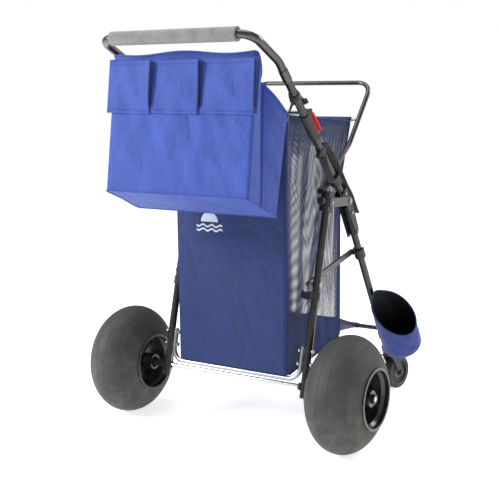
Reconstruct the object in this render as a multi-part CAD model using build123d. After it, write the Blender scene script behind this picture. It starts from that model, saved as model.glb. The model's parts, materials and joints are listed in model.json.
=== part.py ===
from build123d import *
import math
import os

# Folding beach cart: an A-frame of bent steel tube on two balloon wheels and two swivel casters.
#
# Millimetres. +Y is forward, +X is the cart's right, +Z is up. The model is laid out with the rear
# axle above y = 0 and is moved at the end, so that the origin is under the middle of the cart.

# ---- frame tubes -------------------------------------------------------------------------------
TUBE_D = 20.0            # main steel tube
TUBE_WALL = 1.5
FRAME_X = 216.0          # side planes of the frame, from the middle
AXLE_Z = 150.0           # rear axle above the ground
HINGE_Y = 229.0          # main hinge, ahead of the rear axle
HINGE_Z = 605.0
FRONT_LEAN = 30.8        # front legs, forward from vertical
FRONT_LEG_END = 590.0    # hinge centre to the lower end of the front leg
FRONT_LEG_GAP = 18.0     # hinge centre to the upper end of the front leg
UPPER_LEAN = 43.8        # upper tubes, back from vertical
UPPER_GAP = 16.0         # hinge centre to the lower end of the upper tube
UPPER_END = 470.0        # hinge centre to the sleeve joint
REAR_LEAN = 15.1         # rear legs, forward from vertical
REAR_LEG_TOP = 492.0     # axle centre to the upper end of the rear leg
REAR_LEG_FOOT = 26.0     # axle centre to the lower end of the rear leg
PLUG_T = 3.0             # plastic plugs in open tube ends

# ---- handle ------------------------------------------------------------------------------------
GRIP_Y = -238.0
GRIP_Z = 1029.0
GRIP_D = 34.0
GRIP_LEN = 358.0
BOW_R = 36.0             # corner of the handle bow
BOW_KICK_R = 60.0        # where the bow kicks back from the upper tubes
SLEEVE_D = TUBE_D + 3.0
SLEEVE_LEN = 34.0

# ---- hinge hardware ----------------------------------------------------------------------------
PLATE_T = 2.2            # bracket side plates
PLATE_CLEAR = 0.3        # bracket plate to tube
BRACKET_DROP = 112.0     # bracket below the hinge, along the front leg
BRACKET_RISE = 40.0      # bracket above the hinge, along the upper tube
BRACKET_W = 32.0         # bracket width at the hinge
BRACKET_TAIL_W = 19.0
LINK_T = 3.0             # link plate from the rear leg to the hinge
LINK_W = 24.0
LINK_CLEAR = 0.6
HINGE_PIN_D = 8.0
RUN = 0.06               # radial clearance of a running pin
RIVET_D = 5.0
HEAD_T = 2.4
BLOCK_D = 36.0           # plastic cap on the rear leg's top
BLOCK_LEN = 52.0

LATCH_DOWN = 26.0        # hinge centre to the latch pivot, along the front leg
LATCH_LEN = 92.0
LATCH_W = 14.0
LATCH_T = 4.6
LATCH_GAP = HEAD_T + 0.6
LATCH_PIN_D = 5.0

# ---- brace -------------------------------------------------------------------------------------
BRACE_PIVOT = 264.0      # axle centre to the brace pin, along the rear leg
BRACE_X = 192.5          # plane of the brace
BRACE_T = 7.0
BRACE_W = 14.0
BRACE_PIN_D = 6.0
SHOE_D = 31.0
SHOE_LEN = 30.0
LUG_D = 18.0
SHOE_CLEAR = 0.4
SHOE_OPEN = 118.0        # opening of the shoe on the front of the leg, degrees

# ---- front load rack ---------------------------------------------------------------------------
RACK_D = 13.0
RACK_X = 190.0
RACK_PIVOT = (138.0, 640.0)
RACK_BEND = (306.0, 748.0)
RACK_TOP = (449.0, 913.0)
RACK_BEND_R = 70.0
RACK_TOP_R = 42.0
RACK_WALL = 1.2
EYE_HALF = 4.0
ARM_T = 5.4              # rack mount's arm, inboard of the rear leg's cap
ARM_CLEAR = 0.6
FRONT_ROD_AT = 0.40      # share of the upper run, from its bend, where the bag rod crosses
ROD_D = 11.0
REAR_ROD_UP = 335.0      # hinge centre to the rear bag rod, along the upper tube

# ---- wheels ------------------------------------------------------------------------------------
WHEEL_D = 300.0
WHEEL_W = 168.0
WHEEL_X = FRAME_X + 122.0  # wheel's middle plane, outboard of the frame
TYRE_ROOT_R = 33.0       # centre radius of the tyre's elliptical section
TYRE_SKIN = 6.0
BEAD_R = 76.0
RIM_WALL = 4.0
RIM_STEP = 6.0           # the rim's middle is this much smaller than the bead
RIM_LIP = 3.0
HUB_D = 42.0
SPOKES = 6
SPOKE_W = 13.0
SPOKE_DEEP = 34.0
HUB_END_GAP = 10.0       # hub end inboard of the rim lip, outer side
AXLE_D = 12.0
AXLE_END = 9.0           # axle past the outer hub end

# ---- casters -----------------------------------------------------------------------------------
CASTER_D = 100.0
CASTER_W = 27.0
CASTER_X = 224.0
CASTER_TRAIL = 32.0
CASTER_HEADING = 12.0    # stored heading of both casters, degrees
CASTER_STEM_Y = 522.0
FORK_T = 3.5
STEM_D = 11.0
CASTER_AXLE_D = 8.0

# ---- storage bag -------------------------------------------------------------------------------
CLOTH_T = 4.0
SEAM_GAP = 0.3           # floor to rear panel
BAG_HALF = 172.0
BAG_REAR_Y = -8.0
BAG_LOW_Z = 176.0
BAG_FRONT_Y = 300.0
BAG_FRONT_LOW_Z = 214.0
BAG_KNEE_Z = 640.0       # front panel bends forward above this
HOOP_D = 13.0            # hoop under the bag's rear edge
HOOP_GAP = 0.5           # under the bag's floor
HOOP_R = 34.0
HOOP_UP = 102.0          # axle to the top of the hoop's ends, along the leg
BOLT_D = 6.0

TIE_UP = 236.0           # axle centre to the side tie, along the rear leg
TIE_W = 22.0
WEB_T = 2.0

# ---- tote bag ----------------------------------------------------------------------------------
TOTE_HALF = 210.0
TOTE_REAR_TOP = (-199.0, 990.0)
TOTE_REAR_LOW = (-250.0, 660.0)
TOTE_FRONT_TOP = (-63.0, 840.0)  # the sides' top edge runs along under the upper tubes
TOTE_FRONT_LOW = (-118.0, 602.0)
POCKET_HALF = 219.0
POCKET_TOP = 974.0
POCKET_LOW = 850.0
POCKET_T = 20.0
POCKET_WALL = 3.0
POCKET_GAP = 0.6
LOOP_UP = 390.0          # hinge centre to the tote's hanging loops, along the upper tube
LOOP_HALF = 8.0
LOOP_T = 2.5
STRAP_T = 3.0
STRAP_RISE = 7.6         # hinge strap above the tube, over the rack mount

# ---- lower cross bar and leg pouch ---------------------------------------------------------------
CROSS_D = 13.0
CROSS_DOWN = FRONT_LEG_END - 118.0  # hinge centre to the bar between the front legs, along the leg
APRON_HALF = 150.0       # cloth from the bag's front edge to the bar
APRON_RISE = 48.0        # its sides, above the bag's floor
HEM_T = 2.0
POUCH_D = 118.0
POUCH_TURN = 20.0        # the pouch sits beside the right leg, this far round to the rear, degrees
POUCH_GAP = 7.5          # between leg and pouch, so that the sliding shoe passes
POUCH_HIGH = FRONT_LEG_END - 272.0  # hinge centre to the mouth's edge beside the leg, along the leg
POUCH_LIP = FRONT_LEG_END - 165.0   # hinge centre to the mouth's outer edge
POUCH_END = FRONT_LEG_END - 74.0    # hinge centre to the closed end
POUCH_CORNER = 28.0
POUCH_STRAP_AT = FRONT_LEG_END - 93.0

MID = Align.CENTER
CYL = (Align.CENTER, Align.CENTER, Align.MIN)


def lean(degrees_forward, up=1.0):
    """Unit direction in the side plane, leaning forward from vertical."""
    turn = math.radians(degrees_forward)
    return Vector(0, math.sin(turn), up * math.cos(turn))


HINGE = Vector(FRAME_X, HINGE_Y, HINGE_Z)
AXLE = Vector(FRAME_X, 0, AXLE_Z)
FRONT_DIR = lean(FRONT_LEAN, -1.0)
UPPER_DIR = lean(-UPPER_LEAN)
REAR_DIR = lean(REAR_LEAN)
FRONT_OUT = Vector(0, -FRONT_DIR.Z, FRONT_DIR.Y)      # square to the front leg, forward
UPPER_OUT = Vector(0, UPPER_DIR.Z, -UPPER_DIR.Y)      # square to the upper tube, forward and up
REAR_OUT = Vector(0, REAR_DIR.Z, -REAR_DIR.Y)
LEG_LOW = HINGE + FRONT_DIR * FRONT_LEG_END
BRACE_PIN = AXLE + REAR_DIR * BRACE_PIVOT
TO_PIN = BRACE_PIN - HINGE
SHOE_DOWN = 2 * TO_PIN.dot(FRONT_DIR)                 # makes both arms of the brace triangle equal
SHOE_PIN = HINGE + FRONT_DIR * SHOE_DOWN
REAR_TOP = AXLE + REAR_DIR * REAR_LEG_TOP


def side(y, z, x=FRAME_X):
    return Vector(x, y, z)


def with_x(point, x):
    return Vector(x, point.Y, point.Z)


def rod(start, end, diameter):
    start, end = Vector(start), Vector(end)
    span = end - start
    return Plane(origin=start, z_dir=span) * Cylinder(diameter / 2, span.length, align=CYL)


def across(point, x_low, x_high, diameter):
    """Round bar along X at a side-plane point."""
    return rod((x_low, point.Y, point.Z), (x_high, point.Y, point.Z), diameter)


def tube(start, end, diameter, wall):
    return rod(start, end, diameter) - rod(start, end, diameter - 2 * wall)


def bent(points, radii, diameter):
    """Round bar along straight runs joined by tangent arcs."""
    path = FilletPolyline(*points, radius=radii)
    start = Plane(origin=path @ 0, z_dir=path % 0)
    return sweep(start * Circle(diameter / 2), path=path)


def bent_tube(points, radii, diameter, wall):
    return bent(points, radii, diameter) - bent(points, radii, diameter - 2 * wall)


def slab(outline, x_low, x_high):
    """Side-plane outline of (y, z) pairs, extruded along X."""
    face = make_face(Polyline(*[Vector(x_low, y, z) for y, z in outline], close=True))
    return extrude(face, amount=x_high - x_low, dir=(1, 0, 0))


def ring(point, x_low, x_high, outer, inner):
    return across(point, x_low, x_high, outer) - across(point, x_low - 1, x_high + 1, inner)


def both(shape):
    return Compound(children=[shape, mirror(shape, about=Plane.YZ)])


def strip_along(origin, along, square, low, high, width_low, width_high, x_low, x_high):
    """Flat tapered plate in the side plane: along one direction, width square to it."""
    corners = []
    for reach, width in ((low, -width_low), (high, -width_high), (high, width_high), (low, width_low)):
        spot = origin + along * reach + square * (width / 2)
        corners.append((spot.Y, spot.Z))
    return slab(corners, x_low, x_high)


nodes = {}


def pair(name, right):
    nodes[name + "_right"] = right
    nodes[name + "_left"] = mirror(right, about=Plane.YZ)


# ==== upper frame ===============================================================================
tube_r = TUBE_D / 2
upper_low = HINGE + UPPER_DIR * UPPER_GAP
upper_high = HINGE + UPPER_DIR * UPPER_END
rear_rod_at = HINGE + UPPER_DIR * REAR_ROD_UP
rod_bite = FRAME_X - tube_r + TUBE_WALL + 1.0

upper_tube = tube(upper_low, upper_high, TUBE_D, TUBE_WALL)
upper_tube -= across(rear_rod_at, rod_bite - 12, FRAME_X, ROD_D)
plate_in = FRAME_X - tube_r - PLATE_CLEAR - PLATE_T
plate_out = FRAME_X + tube_r + PLATE_CLEAR + PLATE_T
upper_rivet = HINGE + UPPER_DIR * (UPPER_GAP + 14.0)
upper_tube -= across(upper_rivet, plate_in - 9, plate_out + 9, RIVET_D)

grip = Vector(0, GRIP_Y, GRIP_Z)
bow_points = [
    upper_high,
    upper_high + UPPER_DIR * 34.0,
    Vector(FRAME_X, GRIP_Y, GRIP_Z),
    Vector(-FRAME_X, GRIP_Y, GRIP_Z),
    Vector(-FRAME_X, upper_high.Y, upper_high.Z) + UPPER_DIR * 34.0,
    Vector(-FRAME_X, upper_high.Y, upper_high.Z),
]
nodes["handle_bow"] = bent_tube(bow_points, [BOW_KICK_R, BOW_R, BOW_R, BOW_KICK_R], TUBE_D, TUBE_WALL)
foam = across(grip, -GRIP_LEN / 2, GRIP_LEN / 2, GRIP_D)
nodes["handle_grip"] = foam - across(grip, -GRIP_LEN, GRIP_LEN, TUBE_D)
pair("upper_tube", upper_tube)
sleeve_low = upper_high - UPPER_DIR * (SLEEVE_LEN - 8.0)
nodes["tube_sleeves"] = both(rod(sleeve_low, sleeve_low + UPPER_DIR * SLEEVE_LEN, SLEEVE_D)
                             - rod(sleeve_low - UPPER_DIR, sleeve_low + UPPER_DIR * 50, TUBE_D))
nodes["rear_rod"] = across(rear_rod_at, -rod_bite, rod_bite, ROD_D)

# ==== main hinge ================================================================================
def bracket_cheek(x_low, x_high):
    lower = strip_along(HINGE, FRONT_DIR, FRONT_OUT, 0, BRACKET_DROP, BRACKET_W, BRACKET_TAIL_W,
                        x_low, x_high)
    upper = strip_along(HINGE, UPPER_DIR, UPPER_OUT, 0, BRACKET_RISE, BRACKET_W, BRACKET_W, x_low, x_high)
    return lower + upper + across(HINGE, x_low, x_high, BRACKET_W)


front_face = TUBE_D / 2 + PLATE_CLEAR
web = strip_along(HINGE + FRONT_OUT * (front_face + PLATE_T / 2), FRONT_DIR, FRONT_OUT, 8, BRACKET_DROP - 34,
                  PLATE_T, PLATE_T, plate_in, plate_out)
bracket = bracket_cheek(plate_in, plate_in + PLATE_T) + bracket_cheek(plate_out - PLATE_T, plate_out) + web
leg_rivets = [HINGE + FRONT_DIR * (FRONT_LEG_GAP + 22.0), HINGE + FRONT_DIR * (BRACKET_DROP - 9.0)]
rivet_spots = [upper_rivet] + leg_rivets
for spot in rivet_spots:
    bracket -= across(spot, plate_in - 9, plate_out + 9, RIVET_D)
bracket -= across(HINGE, plate_in - 9, plate_out + 9, HINGE_PIN_D)
pair("hinge_bracket", bracket)


def rivet(spot, diameter, x_low, x_high, head):
    body = across(spot, x_low, x_high, diameter)
    return body + across(spot, x_low - HEAD_T, x_low, head) + across(spot, x_high, x_high + HEAD_T, head)


rivets = [rivet(spot, RIVET_D, plate_in, plate_out, 9.0) for spot in rivet_spots]
nodes["bracket_rivets"] = both(Compound(children=rivets))
link_in = plate_out + LINK_CLEAR
pin_low = plate_in
pin_high = link_in + LINK_T + LINK_CLEAR
hinge_pin = rivet(HINGE, HINGE_PIN_D, pin_low, pin_high, 15.0)

# ==== front legs ================================================================================
front_leg = tube(HINGE + FRONT_DIR * FRONT_LEG_GAP, LEG_LOW, TUBE_D, TUBE_WALL)
for spot in leg_rivets:
    front_leg -= across(spot, plate_in - 9, plate_out + 9, RIVET_D)

# ==== caster sockets ============================================================================
fork_top_z = CASTER_D + 6.0
socket_low = fork_top_z + FORK_T + 3.0
leg_cup = rod(LEG_LOW - FRONT_DIR * 44.0, LEG_LOW + FRONT_DIR * 4.0, TUBE_D + 8.0)
stem_foot = Vector(CASTER_X, CASTER_STEM_Y, socket_low)
rise = Vector(0, 0, 1)
stem_cup = rod(stem_foot, stem_foot + rise * 42.0, STEM_D + 13.0)
socket = leg_cup + stem_cup
below = Location((0, 0, socket_low)) * Box(2000, 3000, 400, align=(MID, MID, Align.MAX))
socket -= below
socket -= rod(HINGE + FRONT_DIR * FRONT_LEG_GAP, LEG_LOW, TUBE_D)
stem_hole = rod(stem_foot - rise * 5, stem_foot + rise * 34.0, STEM_D + 2 * RUN)
socket -= stem_hole
stem_clear = rod(stem_foot - rise * 60, stem_foot + rise * 60, STEM_D + 1.0)
nodes["caster_sockets"] = both(socket)
pair("front_leg", front_leg - stem_clear - below)

# ==== casters ===================================================================================
heading = math.radians(CASTER_HEADING)
roll_dir = Vector(math.sin(heading), math.cos(heading), 0)
side_dir = Vector(math.cos(heading), -math.sin(heading), 0)


def caster(stem_x):
    """Fork with stem, wheel and axle bolt for one caster; both casters share one heading."""
    hub = Vector(stem_x, CASTER_STEM_Y, CASTER_D / 2) + roll_dir * CASTER_TRAIL
    frame = Plane(origin=(stem_x, CASTER_STEM_Y, 0), x_dir=side_dir, z_dir=(0, 0, 1))
    inner = CASTER_W / 2 + 2.0
    outer = inner + FORK_T
    top = frame * Location((0, 0, fork_top_z)) * Box(2 * outer, 34, FORK_T, align=(MID, MID, Align.MIN))
    top += frame * Location((0, 0, fork_top_z)) * Cylinder(14, FORK_T, align=CYL)
    fork = top + rod((stem_x, CASTER_STEM_Y, fork_top_z), (stem_x, CASTER_STEM_Y, socket_low + 33.0), STEM_D)
    for sign in (-1, 1):
        leg_outline = [(-15, fork_top_z + FORK_T), (17, fork_top_z + FORK_T),
                       (CASTER_TRAIL + 10, CASTER_D / 2), (CASTER_TRAIL - 10, CASTER_D / 2)]
        x_low = inner if sign > 0 else -outer
        leg_face = make_face(Polyline(*[Vector(x_low, y, z) for y, z in leg_outline], close=True))
        leg = extrude(leg_face, amount=FORK_T, dir=(1, 0, 0))
        leg += Location((x_low + FORK_T / 2, CASTER_TRAIL, CASTER_D / 2), (0, 90, 0)) * Cylinder(10, FORK_T)
        fork += frame * leg
    axle = rod(hub - side_dir * outer, hub + side_dir * outer, CASTER_AXLE_D)
    fork -= axle
    for sign in (-1, 1):
        axle += rod(hub + side_dir * (sign * outer), hub + side_dir * (sign * (outer + 4.0)), 14.0)
    body = rod(hub - side_dir * (CASTER_W / 2), hub + side_dir * (CASTER_W / 2), CASTER_D)
    body = fillet(body.edges(), 5.0)
    for sign in (-1, 1):
        face_at = hub + side_dir * (sign * CASTER_W / 2)
        dish = rod(face_at, face_at - side_dir * (sign * 5.0), CASTER_D * 0.66)
        dish -= rod(face_at, face_at - side_dir * (sign * 5.0), CASTER_D * 0.26)
        body -= dish
    bore = rod(hub - side_dir * 40, hub + side_dir * 40, CASTER_AXLE_D + 2 * RUN)
    return Compound(children=[fork, axle]), body - bore


for label, stem_x in (("right", CASTER_X), ("left", -CASTER_X)):
    nodes["caster_fork_" + label], nodes["caster_wheel_" + label] = caster(stem_x)

# ==== rear frame ================================================================================
rear_foot = AXLE - REAR_DIR * REAR_LEG_FOOT
rear_leg = tube(rear_foot, REAR_TOP, TUBE_D, TUBE_WALL)
rear_leg -= across(AXLE, 100, 400, AXLE_D)
rear_leg -= across(BRACE_PIN, 100, 400, BRACE_PIN_D)
hoop_top = AXLE + REAR_DIR * HOOP_UP
bolt_spots = [AXLE + REAR_DIR * (HOOP_UP - 10.0), AXLE + REAR_DIR * (HOOP_UP - 44.0)]
for spot in bolt_spots:
    rear_leg -= across(spot, 100, 400, BOLT_D)

link_far = link_in + LINK_T
link_top = REAR_TOP - REAR_DIR * 14.0
link_span = link_top - HINGE
link_dir = link_span.normalized()
link_out = Vector(0, link_dir.Z, -link_dir.Y)
link = strip_along(HINGE, link_dir, link_out, 0, link_span.length, LINK_W, LINK_W, link_in, link_far)
link += across(HINGE, link_in, link_far, LINK_W) + across(link_top, link_in, link_far, LINK_W)
link -= across(HINGE, link_in - 5, link_far + 5, HINGE_PIN_D + 2 * RUN)
link -= across(link_top, link_in - 5, link_far + 5, RIVET_D)
nodes["hinge_links"] = both(link)

rear_leg -= across(link_top, 100, 400, RIVET_D)
block = rod(REAR_TOP - REAR_DIR * (BLOCK_LEN - 14.0), REAR_TOP + REAR_DIR * 14.0, BLOCK_D)
block = block & (Plane(origin=REAR_TOP, z_dir=REAR_DIR, x_dir=(1, 0, 0))
                 * Box(2 * (link_in - FRAME_X) - 2 * LINK_CLEAR, BLOCK_D, 200))
block -= rod(rear_foot, REAR_TOP, TUBE_D)
block -= across(link_top, 100, 400, RIVET_D)
knob_post = link_top - REAR_OUT * (BLOCK_D / 2 - 4.0)
block += rod(knob_post, knob_post - REAR_OUT * 20.0, 10.0)
block += rod(knob_post - REAR_OUT * 14.0, knob_post - REAR_OUT * 24.0, 19.0)
nodes["leg_top_blocks"] = both(block)
block_half = link_in - FRAME_X - LINK_CLEAR
link_rivet = across(link_top, FRAME_X - block_half, link_far, RIVET_D)
link_rivet += across(link_top, FRAME_X - block_half - HEAD_T, FRAME_X - block_half, 10.0)
link_rivet += across(link_top, link_far, link_far + HEAD_T, 10.0)
link_spacer = across(link_top, FRAME_X + block_half, link_in, 11.0)
link_rivet += link_spacer - across(link_top, FRAME_X, link_far, RIVET_D)

hoop_x = FRAME_X - tube_r - HOOP_D / 2
hoop_z = BAG_LOW_Z - CLOTH_T - HOOP_GAP - HOOP_D / 2
hoop_low_y = AXLE.Y + (hoop_z - AXLE_Z) * math.tan(math.radians(REAR_LEAN))
hoop_points = [
    Vector(hoop_x, hoop_top.Y, hoop_top.Z),
    Vector(hoop_x, hoop_low_y, hoop_z),
    Vector(-hoop_x, hoop_low_y, hoop_z),
    Vector(-hoop_x, hoop_top.Y, hoop_top.Z),
]
hoop = bent_tube(hoop_points, [HOOP_R, HOOP_R], HOOP_D, TUBE_WALL)
for spot in bolt_spots:
    hoop -= across(spot, -400, 400, BOLT_D)
nodes["base_hoop"] = hoop
hoop_in = hoop_x - HOOP_D / 2


def bolt(spot):
    body = across(spot, hoop_in, FRAME_X + tube_r, BOLT_D)
    head = across(spot, FRAME_X + tube_r, FRAME_X + tube_r + 4.0, 11.0)
    nut_plane = Plane(origin=(hoop_in - 5.0, spot.Y, spot.Z), z_dir=(1, 0, 0))
    return body + head + extrude(nut_plane * RegularPolygon(5.8, 6), amount=5.0)


nodes["leg_bolts"] = both(Compound(children=[bolt(spot) for spot in bolt_spots]))
pair("rear_leg", rear_leg)
plug = rod(rear_foot - REAR_DIR * PLUG_T, rear_foot, TUBE_D)
plug += rod(rear_foot, rear_foot + REAR_DIR * 10.0, TUBE_D - 2 * TUBE_WALL)
nodes["leg_plugs"] = both(plug)

brace_low = BRACE_X - BRACE_T / 2
brace_high = BRACE_X + BRACE_T / 2
leg_inner = FRAME_X - tube_r
brace_pin = across(BRACE_PIN, brace_low - 1.0, FRAME_X + tube_r + 1.0, BRACE_PIN_D)
brace_pin += across(BRACE_PIN, brace_low - 1.0 - HEAD_T, brace_low - 1.0, 11.0)
brace_pin += across(BRACE_PIN, FRAME_X + tube_r, FRAME_X + tube_r + HEAD_T, 11.0)
brace_pin += across(BRACE_PIN, brace_high + 0.5, leg_inner, 12.0)
nodes["rear_pins"] = both(Compound(children=[link_rivet, brace_pin]))

# ==== brace and sliding shoe ====================================================================
brace_a = with_x(BRACE_PIN, BRACE_X)
brace_b = with_x(SHOE_PIN, BRACE_X)
brace_span = brace_b - brace_a
brace_dir = brace_span.normalized()
brace_square = Vector(0, -brace_dir.Z, brace_dir.Y)
brace = strip_along(brace_a, brace_dir, brace_square, 0, brace_span.length, BRACE_W, BRACE_W,
                    brace_low, brace_high)
for spot in (brace_a, brace_b):
    brace += across(spot, brace_low, brace_high, BRACE_W)
for spot in (brace_a, brace_b):
    brace -= across(spot, brace_low - 5, brace_high + 5, BRACE_PIN_D + 2 * RUN)
pair("brace", brace)

shoe_low = SHOE_PIN - FRONT_DIR * (SHOE_LEN / 2)
shoe = rod(shoe_low, shoe_low + FRONT_DIR * SHOE_LEN, SHOE_D)
lug_in = brace_high + 0.5
shoe += across(SHOE_PIN, lug_in, FRAME_X, LUG_D)
shoe -= rod(HINGE, LEG_LOW, TUBE_D + 2 * SHOE_CLEAR)
half_open = math.radians(SHOE_OPEN / 2)
reach = 60.0
mouth_plane = Plane(origin=shoe_low - FRONT_DIR, x_dir=FRONT_OUT, z_dir=FRONT_DIR)
spread = reach * math.tan(half_open)
mouth = make_face(Polyline((0, 0), (reach, spread), (reach, -spread), close=True))
shoe -= extrude(mouth_plane * mouth, amount=SHOE_LEN + 2)
shoe_pin = across(SHOE_PIN, brace_low - 1.0, lug_in + 8.0, BRACE_PIN_D)
shoe_pin = shoe_pin & across(SHOE_PIN, 0, FRAME_X - tube_r - SHOE_CLEAR - 0.6, BRACE_PIN_D + 2)
shoe -= across(SHOE_PIN, 0, FRAME_X - tube_r - SHOE_CLEAR - 0.6, BRACE_PIN_D)
shoe_pin += across(SHOE_PIN, brace_low - 1.0 - HEAD_T, brace_low - 1.0, 11.0)
pair("brace_shoe", Compound(children=[shoe, shoe_pin]))

# ==== rack ======================================================================================
rack_points = [Vector(RACK_X, *RACK_PIVOT), Vector(RACK_X, *RACK_BEND), Vector(RACK_X, *RACK_TOP),
               Vector(-RACK_X, *RACK_TOP), Vector(-RACK_X, *RACK_BEND), Vector(-RACK_X, *RACK_PIVOT)]
rack_pin_at = Vector(RACK_X, *RACK_PIVOT)
rack_radii = [RACK_BEND_R, RACK_TOP_R, RACK_TOP_R, RACK_BEND_R]
rack = bent_tube(rack_points, rack_radii, RACK_D, RACK_WALL)
bend_at = Vector(0, *RACK_BEND)
top_at = Vector(0, *RACK_TOP)
front_rod_at = bend_at + (top_at - bend_at) * FRONT_ROD_AT
rod_end = RACK_X - RACK_D / 2 + 2.2
rack -= across(front_rod_at, -rod_end, rod_end, ROD_D - 2.0)
eye_r = RACK_D / 2 + 2.5
arm_in = RACK_X + RACK_D / 2 + ARM_CLEAR
eye = across(rack_pin_at, RACK_X - EYE_HALF, arm_in - ARM_CLEAR, 2 * eye_r)
rack -= both(across(rack_pin_at, RACK_X - 20, RACK_X + 20, 2 * eye_r))
eye -= across(rack_pin_at, RACK_X - 20, RACK_X + 20, BRACE_PIN_D + 2 * RUN)
nodes["rack_tube"] = rack + eye + mirror(eye, about=Plane.YZ)
nodes["front_rod"] = across(front_rod_at, -rod_end, rod_end, ROD_D - 2.0)

mount_reach = (rack_pin_at - HINGE).dot(UPPER_DIR)
mount_at = HINGE + UPPER_DIR * mount_reach
mount_clamp = rod(mount_at - UPPER_DIR * 15, mount_at + UPPER_DIR * 15, TUBE_D + 14.0)
arm_out = arm_in + ARM_T
arm_dir = (with_x(rack_pin_at, FRAME_X) - mount_at).normalized()
arm_length = (with_x(rack_pin_at, FRAME_X) - mount_at).length
arm_square = Vector(0, -arm_dir.Z, arm_dir.Y)
mount_arm = strip_along(mount_at, arm_dir, arm_square, 0, arm_length, 22.0, 18.0, arm_in, arm_out)
mount_arm += across(rack_pin_at, arm_in, arm_out, 18.0)
mount = mount_clamp + mount_arm
mount -= rod(upper_low, upper_high, TUBE_D)
mount -= across(rack_pin_at, 0, 400, BRACE_PIN_D)
pin_in = RACK_X - EYE_HALF - ARM_CLEAR
rack_pin = across(rack_pin_at, pin_in, arm_out, BRACE_PIN_D)
rack_pin += across(rack_pin_at, pin_in - HEAD_T, pin_in, 12.0)
nodes["rack_mounts"] = both(Compound(children=[mount, rack_pin]))

# ==== small parts on the upper tubes ============================================================
clip_at = HINGE + UPPER_DIR * 289.0
base_low = clip_at - UPPER_DIR * 42.0
clip_base = rod(base_low, base_low + UPPER_DIR * 80.0, TUBE_D + 6.0)
clip_base -= rod(upper_low, upper_high, TUBE_D)
clip_seat = clip_at + UPPER_OUT * (tube_r + 4.0)
post = strip_along(clip_seat + UPPER_DIR * 30.0, UPPER_DIR, UPPER_OUT, -7, 7, 12.0, 12.0,
                   FRAME_X - 9, FRAME_X + 9)
clip_pin_at = clip_seat + UPPER_DIR * 30.0 + UPPER_OUT * 6.0
clip_base += post
clip_base += across(clip_pin_at, FRAME_X - 9, FRAME_X - 5, 14.0)
clip_base += across(clip_pin_at, FRAME_X + 5, FRAME_X + 9, 14.0)
clip_base -= rod(upper_low, upper_high, TUBE_D)
lever_slot = across(clip_pin_at, FRAME_X - 4.6, FRAME_X + 4.6, 18.4)
clip_base -= lever_slot
clip_base -= across(clip_pin_at, FRAME_X - 20, FRAME_X + 20, 4.0)
clip_base += across(clip_pin_at, FRAME_X - 9, FRAME_X + 9, 4.0)
nodes["clip_bases"] = both(clip_base)
lever = across(clip_pin_at, FRAME_X - 4.0, FRAME_X + 4.0, 12.0)
lever += strip_along(clip_pin_at - UPPER_DIR * 2.0, UPPER_DIR, UPPER_OUT, -76, 0, 7.0, 11.0,
                     FRAME_X - 4.0, FRAME_X + 4.0)
paddle = strip_along(clip_pin_at - UPPER_DIR * 10.0, UPPER_DIR, UPPER_OUT, -62, 0, 4.0, 5.0,
                     FRAME_X - 10.0, FRAME_X + 10.0)
lever += Location(UPPER_OUT * 4.5) * paddle
lever -= across(clip_pin_at, FRAME_X - 20, FRAME_X + 20, 4.0 + 2 * RUN)
pair("clip_lever", lever)

knob_at = HINGE + UPPER_DIR * 199.0
knob_band = rod(knob_at - UPPER_DIR * 9, knob_at + UPPER_DIR * 9, TUBE_D + 4.0)
knob_band -= rod(upper_low, upper_high, TUBE_D)
knob_band += rod(knob_at - UPPER_OUT * (tube_r + 1.0), knob_at - UPPER_OUT * (tube_r + 13.0), 14.0)
nodes["tube_knobs"] = both(knob_band)

strap_off = tube_r + STRAP_RISE
strap = strip_along(HINGE + UPPER_OUT * (strap_off + STRAP_T / 2), UPPER_DIR, UPPER_OUT, -12.0, 186.0,
                    STRAP_T, STRAP_T, FRAME_X - 17, FRAME_X + 17)
strap += strip_along(HINGE + UPPER_OUT * (strap_off / 2), UPPER_DIR, UPPER_OUT, 166.0, 186.0,
                     strap_off + 1, strap_off + 1, FRAME_X - 8, FRAME_X + 8)
strap -= rod(upper_low, upper_high, TUBE_D)
nodes["hinge_straps"] = both(strap)

# ==== latch lever inside the hinge bracket =======================================================
latch_at = HINGE + FRONT_DIR * LATCH_DOWN
latch_high = plate_in - LATCH_GAP
latch_low = latch_high - LATCH_T
latch = across(latch_at, latch_low, latch_high, LATCH_W + 3.0)
latch += strip_along(latch_at, FRONT_DIR, FRONT_OUT, 0, LATCH_LEN, LATCH_W, LATCH_W - 3.0,
                     latch_low, latch_high)
latch += across(latch_at + FRONT_DIR * LATCH_LEN, latch_low, latch_high, LATCH_W)
latch_hook = latch_at - FRONT_DIR * 16.0 - FRONT_OUT * 6.0
latch += strip_along(latch_hook, FRONT_OUT, FRONT_DIR, -6.0, 6.0, 10.0, 20.0, latch_low, latch_high)
latch -= across(latch_at, latch_low - 5, latch_high + 5, LATCH_PIN_D + 2 * RUN)
pair("latch_lever", latch)
latch_pin = across(latch_at, latch_low - 0.4, plate_in, LATCH_PIN_D)
latch_pin += across(latch_at, latch_low - 0.4 - HEAD_T, latch_low - 0.4, 9.0)
nodes["hinge_pins"] = both(Compound(children=[hinge_pin, latch_pin]))

# ==== axle and wheels ===========================================================================
tyre_half = WHEEL_W / 2
tyre_rise = WHEEL_D / 2 - TYRE_ROOT_R


def section_x(radius, shrink=0.0):
    """Half width of the tyre's elliptical section at a radius."""
    share = (radius - TYRE_ROOT_R) / (tyre_rise - shrink)
    return (tyre_half - shrink) * math.sqrt(1 - share * share)


def section_arc(shrink):
    first = math.asin((BEAD_R - TYRE_ROOT_R) / (tyre_rise - shrink))
    turns = [first + (math.pi - 2 * first) * k / 8 for k in range(9)]
    wide, tall = tyre_half - shrink, tyre_rise - shrink
    return [Vector(-wide * math.cos(t), TYRE_ROOT_R + tall * math.sin(t)) for t in turns]


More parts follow.
